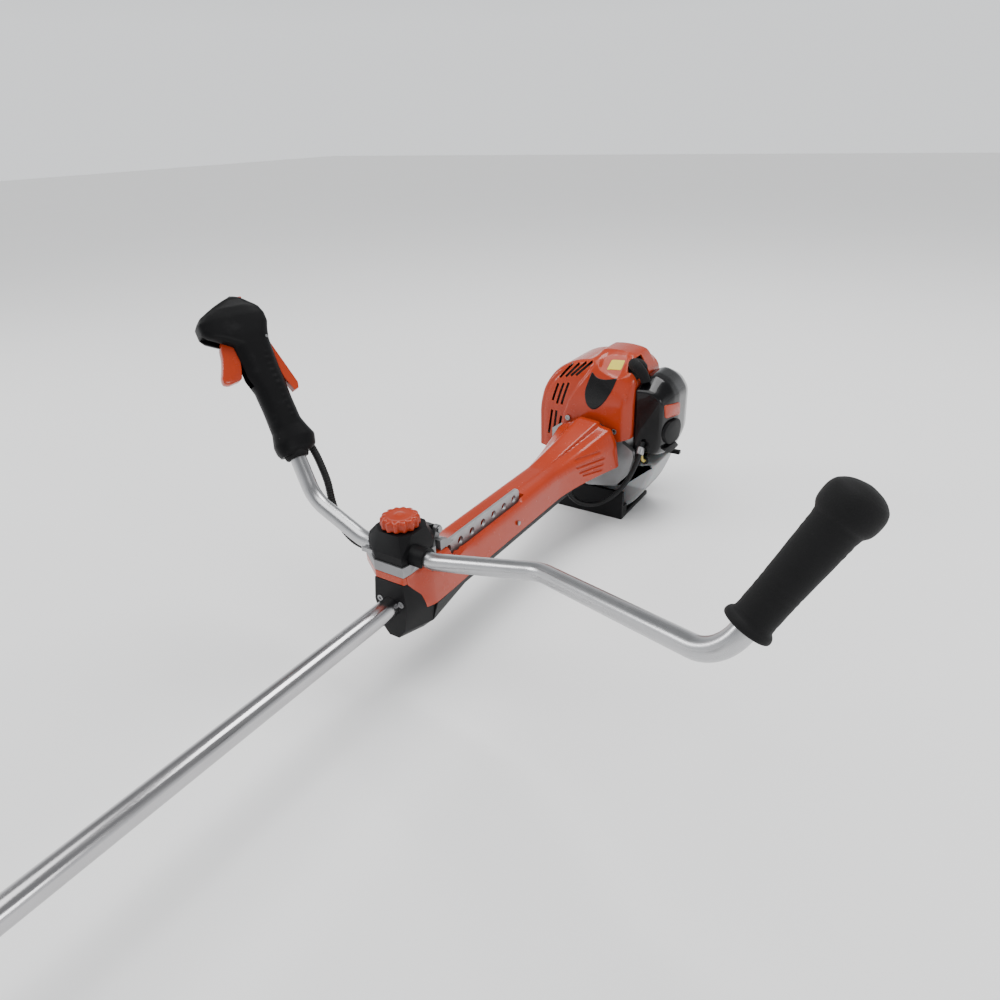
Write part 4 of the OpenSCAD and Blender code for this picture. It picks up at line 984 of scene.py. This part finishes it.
# %% Clamp shoulder
CLAMP_MIDDLE = np.array([-15.0, 40.0])
CLAMP = [(-20, 0.1), (26, 0.1), (28, 12), (28, 66), (16, 80), (-40, 80), (-58, 64), (-58, 26)]
plate_rows = []
for inset, level in ((1.0, 38.4), (0, 39.4), (0, 48.7), (0.8, 49.6)):
    ring = rounded((np.array(CLAMP, float) - CLAMP_MIDDLE) * (1 - inset / 42) + CLAMP_MIDDLE, 2, 4)
    plate_rows.append(np.insert(ring, 2, level, 1))
piece("clamp_shoulder", surface(np.array(plate_rows)), ORANGE, "tool", sharp=34)
print("clamp shoulder, points round it:", len(ring))

# %% [markdown]
# The filter cover is a polished box with a sloping front and a chamfered top. Its sections are given at a
# few stations and joined smoothly; the first and last ones are drawn in to round its ends.

# %% Filter cover
FILTER = {
    590: [(80.4, 8), (80.4, 125), (109, 126), (128, 115), (132, 101), (132, 27), (124, 10)],
    600: [(80.4, 5), (80.4, 129), (107, 132), (128, 121), (135, 103), (135, 26), (127, 6)],
    622: [(80.4, 2), (80.4, 136), (101, 146.5), (126, 136.5), (141, 116), (141.5, 28), (131, 2)],
    640: [(80.4, 0), (80.4, 138), (100, 148), (127, 137), (143.5, 114), (144, 30), (132, 0)],
    680: [(80.4, 0), (80.4, 138), (100, 147), (126, 136), (142.5, 112), (142.5, 30), (131, 0)],
    708: [(80.4, 2), (80.4, 128), (99, 136), (122, 127), (136, 106), (137, 32), (128, 4)],
}


def lofted(sections, corner, low, high, soft, count=120, step=4.0):
    """Closed sections joined along the tube. Between two stations a point is their weighted mean; at both
    ends the ring is drawn in along its normals by a quarter circle of `soft` mm."""
    known = np.array(sorted(sections), float)
    shapes = []
    for k in sorted(sections):
        ring = rounded(sections[k], corner, 6)
        shapes.append(resampled(np.concatenate([ring, ring[:1]]), count + 1)[:-1])
    shapes = np.array(shapes)
    a = np.linspace(0, pi / 2, 7)
    end_in, end_draw = soft * (1 - np.sin(a)), soft * (1 - np.cos(a))
    between = np.arange(low + soft, high - soft, step)[1:]
    ys = np.r_[low + end_in[::-1], between, high - end_in]
    draws = np.r_[end_draw[::-1], np.zeros(len(between)), end_draw]
    at = np.clip(ys, known[0], known[-1])
    k = np.clip(np.searchsorted(known, at) - 1, 0, len(known) - 2)
    part = ((at - known[k]) / (known[k + 1] - known[k]))[:, None, None]
    ring = shapes[k] * (1 - part) + shapes[k + 1] * part
    after = np.roll(ring, -1, 1)
    chord = after - np.roll(ring, 1, 1)
    normal = np.stack([chord[..., 1], -chord[..., 0]], -1)
    normal /= np.linalg.norm(normal, axis=2, keepdims=True) + 1e-9
    turn = np.sign(np.sum(ring[..., 0] * after[..., 1] - after[..., 0] * ring[..., 1], axis=1))
    ring = ring - normal * (draws * turn)[:, None, None]
    return surface(np.stack([ring[..., 0], np.broadcast_to(ys[:, None], ring.shape[:2]), ring[..., 1]], -1))


skin = mesh_of("filter_cover_skin", lofted(FILTER, [2, 3, 9, 12, 9, 9, 8], 588.5, 708, 4.5))
mesh = carved("filter_cover_skin", skin, 2.2, [extruded(circle(122, 656, 4.4), 2, -8, 8)])
settle(bpy.data.objects.new("filter_cover_skin", mesh), GLOSS, "tool", ("filter_cover",), 32)


def side_x(y):
    """The filter cover's side at station y."""
    return np.interp(y, [590, 600, 622, 640, 680, 708], [132, 135, 141, 143.7, 142.5, 136.5])


def side_plate(name, outline, corner, thick, finish):
    """A plate on the filter cover's side, drawn in (y, z), with a softened rim."""
    ring = rounded(outline, corner, 5)
    ring = resampled(np.concatenate([ring, ring[:1]]), 65)[:-1]
    middle_point = ring.mean(0)
    rows = []
    for shrink, proud in ((1, -1.5), (1, thick - 0.7), (0.97, thick - 0.15), (0.93, thick)):
        drawn = middle_point + (ring - middle_point) * shrink
        rows.append(np.insert(drawn, 0, side_x(drawn[:, 0]) + proud, 1))
    return piece(name, surface(np.array(rows)), finish, "tool", sharp=50)


side_plate("filter_tab", [(594, 104), (640, 98), (645, 74), (598, 79)], 5, 2.4, ORANGE)
side_plate("filter_knob", [(590, 52), (604, 70), (634, 72), (652, 50), (640, 28), (606, 26)], 11, 5.0,
           BLACK)
side_plate("filter_catch", [(596, 22), (630, 27), (643, 15), (612, 9)], 3, 5.0, BLACK)
print("filter cover, faces:", len(mesh.polygons))

# %% [markdown]
# The tank hangs under the filter cover. It is a blow-moulded bottle: one outline, soft ends, and a flat
# bottom. The filler neck and the hose's grommet are turned and joined to it.

# %% Fuel tank, hose and grommet
TANK_SIDE = [(124, -14), (112, -48), (103, -70), (85, -100), (60, -121.5), (-60, -121.5), (-94, -104),
             (-94, -60), (-60, -58.5), (60, -62), (78, -40), (92, -14)]
TANK_CORNER = [8, 10, 12, 16, 18, 18, 16, 9, 9, 9, 9, 7]
bottle = lofted({600: TANK_SIDE, 702: TANK_SIDE}, TANK_CORNER, 600, 702, 9, 160)
neck = turned(rounded([(0, 13.5), (0, 17), (12, 17), (12, 13.5)], 0.6, 3), (-105, 660, -81), (1, 0, 0), 64)
neck = np.concatenate([neck, neck[:1]])
skin = mesh_of("fuel_tank_skin", bottle)
mesh = carved("fuel_tank_skin", skin, 2.0, [])
settle(bpy.data.objects.new("fuel_tank_skin", mesh), TANK, "tool", ("fuel_tank",), 40)
piece("tank_neck", surface(neck, ends=False), TANK, "tool", sharp=50)
corners = [(-3, 0.01), (-3, 5), (0, 7.5), (3, 7.0), (5, 4.2), (5, 0.01)]
stopper = turned(rounded(corners, 1.2, 4, closed=False), (102, 600, -9), (0, -1, 0), 48)
piece("hose_grommet", surface(stopper), RUBBER, "tool", sharp=60)
HOSE_LINE = smooth([(103, 600, -8), (103, 588, -5), (102, 583, 5), (101, 587, 15)], 10)
piece("fuel_hose_skin", surface(swept(HOSE_LINE, 2.5, 24)), HOSE, "tool", ("fuel_hose",))
print("fuel tank, faces:", len(mesh.polygons))

# %% [markdown]
# The two conduits are corrugated sleeves. The sleeve's radius rises and falls along the line, about three
# millimetres to a rib. The plug boot is swept as well: an elbow on the plug, and a lead that arches over and
# goes down through the cover's opening.

# %% Conduits and the plug boot
def corrugated(line, radius, pitch, depth, around=28):
    """A sleeve with rounded ribs along an evenly spaced line."""
    fine, far = evenly(line, pitch / 6)
    wave = 0.5 + 0.5 * np.cos(far * 2 * pi / pitch)
    return swept(fine, radius - depth * (1 - wave) ** 1.5, around)


BAR_CONDUIT = smooth([(-175, 66, 163), (-165, 66, 145), (-150, 62, 118), (-137, 54, 90), (-120, 48, 64),
                      (-97, 47, 46), (-72, 53, 38), (-41, 57, 40)], 12)
ENGINE_CONDUIT = smooth([(0, 499, -38), (1, 502, -62), (14, 522, -84), (36, 546, -90), (60, 560, -74),
                         (79, 567, -48), (94, 571, -14), (101, 573, 12), (101, 586, 32)], 12)
sleeve_mesh = mesh_of("throttle_conduit_skin", surface(corrugated(BAR_CONDUIT, 5.4, 3.4, 0.6)))
sleeve = bpy.data.objects.new("throttle_conduit_skin", sleeve_mesh)
bpy.context.scene.collection.objects.link(sleeve)
sleeve_mesh.shade_smooth()
sleeve_mesh.materials.append(CONDUIT)
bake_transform(sleeve)
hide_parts("throttle_conduit")
ribs = surface(corrugated(ENGINE_CONDUIT, 4.7, 3.4, 0.45))
piece("engine_conduit_skin", ribs, CONDUIT, "tool", ("engine_conduit",), sharp=80)
clip_axis = unit(ENGINE_CONDUIT[-1] - ENGINE_CONDUIT[-12])
clip = turned(rounded([(-6, 4.9), (-6, 6.4), (-4.5, 7), (6, 7), (7.5, 6.2), (7.5, 4.9)], 0.6, 3),
              ENGINE_CONDUIT[-10], clip_axis, 48)
clip = np.concatenate([clip, clip[:1]])
piece("conduit_ferrule", surface(clip, ends=False), STEEL, "tool", sharp=50)
BOOT_LINE = smooth([(70.5, 640, 150), (68, 630, 158), (65, 616, 163), (70, 606, 163.5), (80, 601, 161),
                    (89, 600, 152), (93, 602, 140)], 12)
boot_far = np.linspace(0, 1, len(BOOT_LINE))
boot_r = 10.4 - 1.8 * span_step(boot_far, 0.45, 0.8) + 0.5 * (np.abs(boot_far - 0.62) < 0.03)
lead = surface(swept(BOOT_LINE, boot_r, 40))
elbow = surface(swept(smooth([(24, 640, 126), (36, 640, 142), (50, 640, 153), (62, 640, 156),
                              (70.5, 636, 154)], 8), 10.0, 40))
piece("plug_boot_skin", several(lead, elbow), RUBBER, "tool", ("plug_boot",), sharp=60)
print("conduits, points along them:", len(BAR_CONDUIT), len(ENGINE_CONDUIT))

# %% [markdown]
# The throttle grip is two half shells. Its section is an oval whose front, back and width change along the
# grip: a flared foot, a slim waist for the hand, and an angular head. Each half is hollow, and the slots for
# the trigger, the lever and the switch are cut out of both.

# %% Throttle grip
grip_up = unit(np.subtract(BAR_CORNERS[0], BAR_CORNERS[1]))
turn_z = atan2(grip_up[1], grip_up[0])
turn_y = acos(grip_up[2])
GRIP_X = np.array([cos(turn_z) * cos(turn_y), sin(turn_z) * cos(turn_y), -sin(turn_y)])
GRIP_Y = np.array([-sin(turn_z), cos(turn_z), 0.0])


def on_grip(points):
    """The grip's own millimetres, with +z along the bar and +y forwards, become the tool's."""
    p = np.asarray(points, float)
    return np.array(BAR_CORNERS[1]) + p[..., :1] * GRIP_X + p[..., 1:2] * GRIP_Y + p[..., 2:] * grip_up


FRONT = [(66, 21), (72, 24), (82, 25), (100, 20.5), (130, 20), (160, 21), (180, 27), (200, 27),
         (224, 28), (232, 41), (241, 57), (247, 61.5), (261, 61.5), (269, 56), (282, 33), (292, 10),
         (294.5, 5)]
BACK = [(66, -22), (72, -30), (86, -34), (98, -29), (112, -24), (140, -23.5), (165, -24), (205, -24),
        (228, -24.5), (240, -27), (250, -31), (262, -31), (272, -27), (284, -14), (292, -4), (294.5, 1)]
HALF = [(66, 15), (72, 18), (86, 19), (104, 17), (140, 16.5), (190, 17), (222, 18.5), (238, 19),
        (262, 19), (276, 18), (288, 13), (294.5, 4)]
SQUARE = [(66, 2.6), (100, 2.3), (190, 2.2), (225, 2.8), (240, 4.5), (270, 4.5), (294.5, 3.0)]


def along(table, s):
    """The table's value at height s: straight lines between its pairs."""
    known = np.array(table, float)
    return np.interp(s, known[:, 0], known[:, 1])


def half_grip(side):
    """One half: at each height, the right or left side of a superellipse |y|^p + |x|^p = 1, stretched to the
    grip's front, back and width there, and closed by the flat where the halves meet."""
    rows = []
    for s in np.r_[66, np.arange(67, 293, 2.2), 293.6, 294.4]:
        front, back, half, power = (along(t, s) for t in (FRONT, BACK, HALF, SQUARE))
        angle = np.linspace(0, pi, 41)
        c, w = np.cos(angle), np.sin(angle)
        wide = np.sign(c) * np.abs(c) ** (2 / power)
        deep = np.abs(w) ** (2 / power)
        middle, reach = (front + back) / 2, (front - back) / 2
        held = span_step(s, 108, 112) * (1 - span_step(s, 205, 209))
        ripple = 0.5 * (np.cos(s * 2 * pi / 9) > 0.2) * held * (c < -0.2)
        ring = np.stack([side * (0.16 + (half - 0.16 + ripple) * deep), middle + reach * wide,
                         np.full(len(angle), s)], 1)
        rows.append(ring)
    return surface(on_grip(np.array(rows)))


def grip_box(low, high):
    """A cutter: a box in the grip's own millimetres."""
    (x0, y0, z0), (x1, y1, z1) = low, high
    ring = np.array([(x0, y0), (x1, y0), (x1, y1), (x0, y1)], float)
    rows = np.array([np.insert(ring, 2, level, 1) for level in (z0, z1)])
    return surface(on_grip(rows))


bar_hole = turned([(40, BAR_R), (212, BAR_R)], on_grip((0, 0, 0)), grip_up, 48)
trigger_slot = grip_box((-7.6, 9, 167), (7.6, 82, 246))
lever_slot = grip_box((-6.6, -52, 138), (6.6, -9, 238))
switch_slot = grip_box((-5.5, -15, 258), (5.5, 3, 300))
for side, node in ((1, "throttle_shell_left"), (-1, "throttle_shell_right")):
    skin = mesh_of(node + "_skin", half_grip(side))
    mesh = carved(node + "_skin", skin, 2.4, [surface(bar_hole), trigger_slot, lever_slot, switch_slot])
    settle(bpy.data.objects.new(node + "_skin", mesh), BLACK, "handlebar", (node,), 34)
corners = [(60, 11.1), (60, 15), (64, 16.5), (69, 16.5), (69, 11.1)]
collar = turned(rounded(corners, 1.0, 3), on_grip((0, 0, 0)), grip_up, 64)
collar = np.concatenate([collar, collar[:1]])
piece("grip_collar", surface(collar, ends=False), RUBBER, "handlebar", sharp=50)

# %% [markdown]
# The trigger is a flat blade that leaves the head, curves away from the hand and ends in a hooked toe. Its
# outline is drawn once and stacked across its width, a little smaller at both sides for a soft edge.

# %% Throttle trigger
TRIGGER = [(21.5, 243), (34, 243), (43, 229), (45.5, 212), (56.5, 187), (56, 180.5), (50, 177.5),
           (31.8, 180.5), (26.8, 196), (21.8, 215)]
trigger_ring = rounded(TRIGGER, [1, 4, 8, 14, 3, 2, 3, 4, 6, 6], 6)
trigger_middle = trigger_ring.mean(0)
rows = []
for across, inset in ((-6.5, 1.6), (-5.9, 0.5), (-4.9, 0), (4.9, 0), (5.9, 0.5), (6.5, 1.6)):
    ring = trigger_middle + (trigger_ring - trigger_middle) * (1 - inset / 30)
    rows.append(np.insert(ring, 0, across, 1))
piece("throttle_trigger_skin", surface(on_grip(np.array(rows))), ORANGE, "trigger",
      ("throttle_trigger",), sharp=40)
print("grip axis:", [round(float(v), 3) for v in grip_up])

# %% [markdown]
# The trimmer head is turned. Its axis leans back from the tube, and all its parts are given by how far they
# lie along that axis. The housing has shallow ribs for the hand, and the knob has finger grooves.

# %% Trimmer head
HEAD = np.array([0, span("drive_tube")[0][1] - 38, 0.0])
DOWN = np.array([0, -sin(radians(25)), -cos(radians(25))])


def depth_of(node):
    """How far along the head's axis a CAD node starts and stops."""
    mesh = frame["nodes"][node].data
    flat = np.zeros(3 * len(mesh.vertices))
    mesh.vertices.foreach_get("co", flat)
    deep = ((flat.reshape(-1, 3) - HOME) / MM - HEAD) @ DOWN
    return deep.min(), deep.max()


def head_turned(name, corners, finish, body, node, soft=1.2, reach=None, sharp=45, around=144):
    """A piece turned about the head's axis from its closed section of (depth, radius) corners."""
    profile = rounded(corners, soft, 4)
    points = turned(profile, HEAD, DOWN, around, reach)
    points = np.concatenate([points, points[:1]])
    return piece(name, surface(points, ends=False), finish, body, (node,), sharp)


top, cover_top = depth_of("head_housing")[0], depth_of("head_cover")[0]
spool_top, spool_low = depth_of("head_spool")
knob_top, knob_end = depth_of("bump_knob")


def head_ribs(height, angle, radius):
    """Twenty-four shallow grip ribs round the drum's side."""
    wave = (0.5 + 0.5 * np.cos(angle * 24)) ** 3
    return -0.9 * wave * (radius > 58.5) * span_step(height, top + 10, top + 14)


corners = [(top, 11.4), (top, 30), (top + 1.5, 44), (top + 3, 52), (top + 9, 60), (cover_top - 0.2, 60),
           (cover_top - 0.2, 57.6), (top + 9.8, 57.6), (top + 5, 52), (top + 3.4, 44), (top + 3, 11.4)]
head_turned("head_housing_skin", corners, BLACK, "trimmer_head", "head_housing", 2.0,
            head_ribs)
eye_z = (depth_of("line_eyelets")[0] + depth_of("line_eyelets")[1]) / 2
for k, side in enumerate((1, -1)):
    boss = turned(rounded([(56, 6.2), (56, 9.2), (60.5, 9.0), (61.5, 8.2), (61.5, 6.2)], 0.6, 3),
                  HEAD + DOWN * eye_z, (side, 0, 0), 48)
    boss = np.concatenate([boss, boss[:1]])
    piece(f"eyelet_boss_{k}", surface(boss, ends=False), BLACK, "trimmer_head", sharp=50)
corners = [(cover_top, 24.2), (cover_top, 60), (cover_top + 4, 60), (cover_top + 6.9, 56),
           (cover_top + 6.9, 34), (cover_top + 4.6, 31), (cover_top + 5.2, 24.2)]
head_turned("head_cover_skin", corners, BLACK, "trimmer_head", "head_cover", 1.0)
corners = [(spool_top, 11.1), (spool_top, 51), (spool_top + 3, 51), (spool_top + 3, 19),
           (spool_low - 3, 19), (spool_low - 3, 51), (spool_low, 51), (spool_low, 11.1)]
head_turned("head_spool_skin", corners, BLACK, "spool", "head_spool", 0.5)
wound = [(spool_top + 3.2, 19.2)]
for deep in np.arange(spool_top + 4.5, spool_low - 4.0, 2.6):
    for a in np.linspace(-75, 75, 7):
        wound.append((deep + 1.28 * sin(radians(a)), 44.6 + 1.28 * cos(radians(a))))
wound.append((spool_low - 3.2, 19.2))
points = turned(wound, HEAD, DOWN, 120)
points = np.concatenate([points, points[:1]])
piece("spool_line_skin", surface(points, ends=False), NYLON, "spool", ("spool_line",),
      sharp=60)


def knob_grooves(height, angle, radius):
    """Nine narrow grooves: the fourth power of a cosine wave, only below the head's cover."""
    wave = (0.5 + 0.5 * np.cos(angle * 9)) ** 4
    return -1.8 * wave * np.clip((radius - 14) / 6, 0, 1) * span_step(height, knob_top + 11, knob_top + 14)


corners = [(knob_top, 0.01), (knob_top, 23), (knob_top + 15, 23), (knob_end - 4, 20.5), (knob_end - 0.6, 15),
           (knob_end, 7), (knob_end - 0.8, 3), (knob_end - 0.8, 0.01)]
points = turned(rounded(corners, 2.5, 6, closed=False), HEAD, DOWN, 180, knob_grooves)
piece("bump_knob_skin", surface(points), ORANGE, "spool", ("bump_knob",), sharp=50)
print("trimmer head, mm deep:", round(knob_end - top, 1))

# %% [markdown]
# The tool stands on a plain pale floor under soft studio light: a very soft sun that lights the whole floor
# evenly, a large lamp above, and a weaker one on each side. The sky is pale at the horizon and dim overhead,
# so that glossy plastic keeps its depth and shows a few clear highlights.

# %% Floor and light
def plate(name, corners, colour, level):
    """A flat stage piece from four corners in metres."""
    mesh = bpy.data.meshes.new(name)
    mesh.from_pydata(corners, [], [(0, 1, 2, 3)])
    thing = bpy.data.objects.new(name, mesh)
    bpy.context.scene.collection.objects.link(thing)
    f = Finish(name, Specular_IOR_Level=level)
    grain = f.noise(0.5, 2)
    paler = tuple(min(1.0, c * 1.02) for c in colour) + (1,)
    mesh.materials.append(f.feed(Base_Color=f.mix(grain, colour + (1,), paler), Roughness=0.8 + 0.1 * grain))
    return thing


plate("floor", [(-14, -14, 0), (14, -14, 0), (14, 14, 0), (-14, 14, 0)], (0.93, 0.93, 0.93), 0.1)


def lamp(name, place, towards, size, power):
    """A square area lamp at `place`, facing `towards`, in metres and watts."""
    data = bpy.data.lights.new(name, "AREA")
    data.shape, data.size, data.energy = "SQUARE", size, power
    thing = bpy.data.objects.new(name, data)
    turn = (Vector(towards) - Vector(place)).to_track_quat("-Z", "Y")
    thing.matrix_world = Matrix.Translation(Vector(place)) @ turn.to_matrix().to_4x4()
    bpy.context.scene.collection.objects.link(thing)


middle = (0.1, -0.4, 0.2)
lamp("lamp_above", (0.3, 0.9, 3.2), middle, 1.6, 70)
lamp("lamp_left", (-2.6, -1.6, 1.6), middle, 0.9, 26)
lamp("lamp_right", (2.4, -1.2, 1.4), middle, 0.8, 16)
sky = bpy.data.worlds.new("sky")
sky.use_nodes = True
net = sky.node_tree
background = net.nodes["Background"]
background.inputs["Color"].default_value = (0.96, 0.98, 1.0, 1)
where = net.nodes.new("ShaderNodeTexCoord")
parts = net.nodes.new("ShaderNodeSeparateXYZ")
fade = net.nodes.new("ShaderNodeMapRange")
for socket, value in (("From Min", 0.10), ("From Max", 0.45), ("To Min", 1.15), ("To Max", 0.34)):
    fade.inputs[socket].default_value = value
net.links.new(where.outputs["Generated"], parts.inputs[0])
net.links.new(parts.outputs["Z"], fade.inputs["Value"])
net.links.new(fade.outputs[0], background.inputs["Strength"])
bpy.context.scene.world = sky
sun = bpy.data.lights.new("soft_sun", "SUN")
sun.energy, sun.angle = 1.9, radians(50)
sun_thing = bpy.data.objects.new("soft_sun", sun)
sun_thing.rotation_euler = (radians(14), radians(-12), 0)
bpy.context.scene.collection.objects.link(sun_thing)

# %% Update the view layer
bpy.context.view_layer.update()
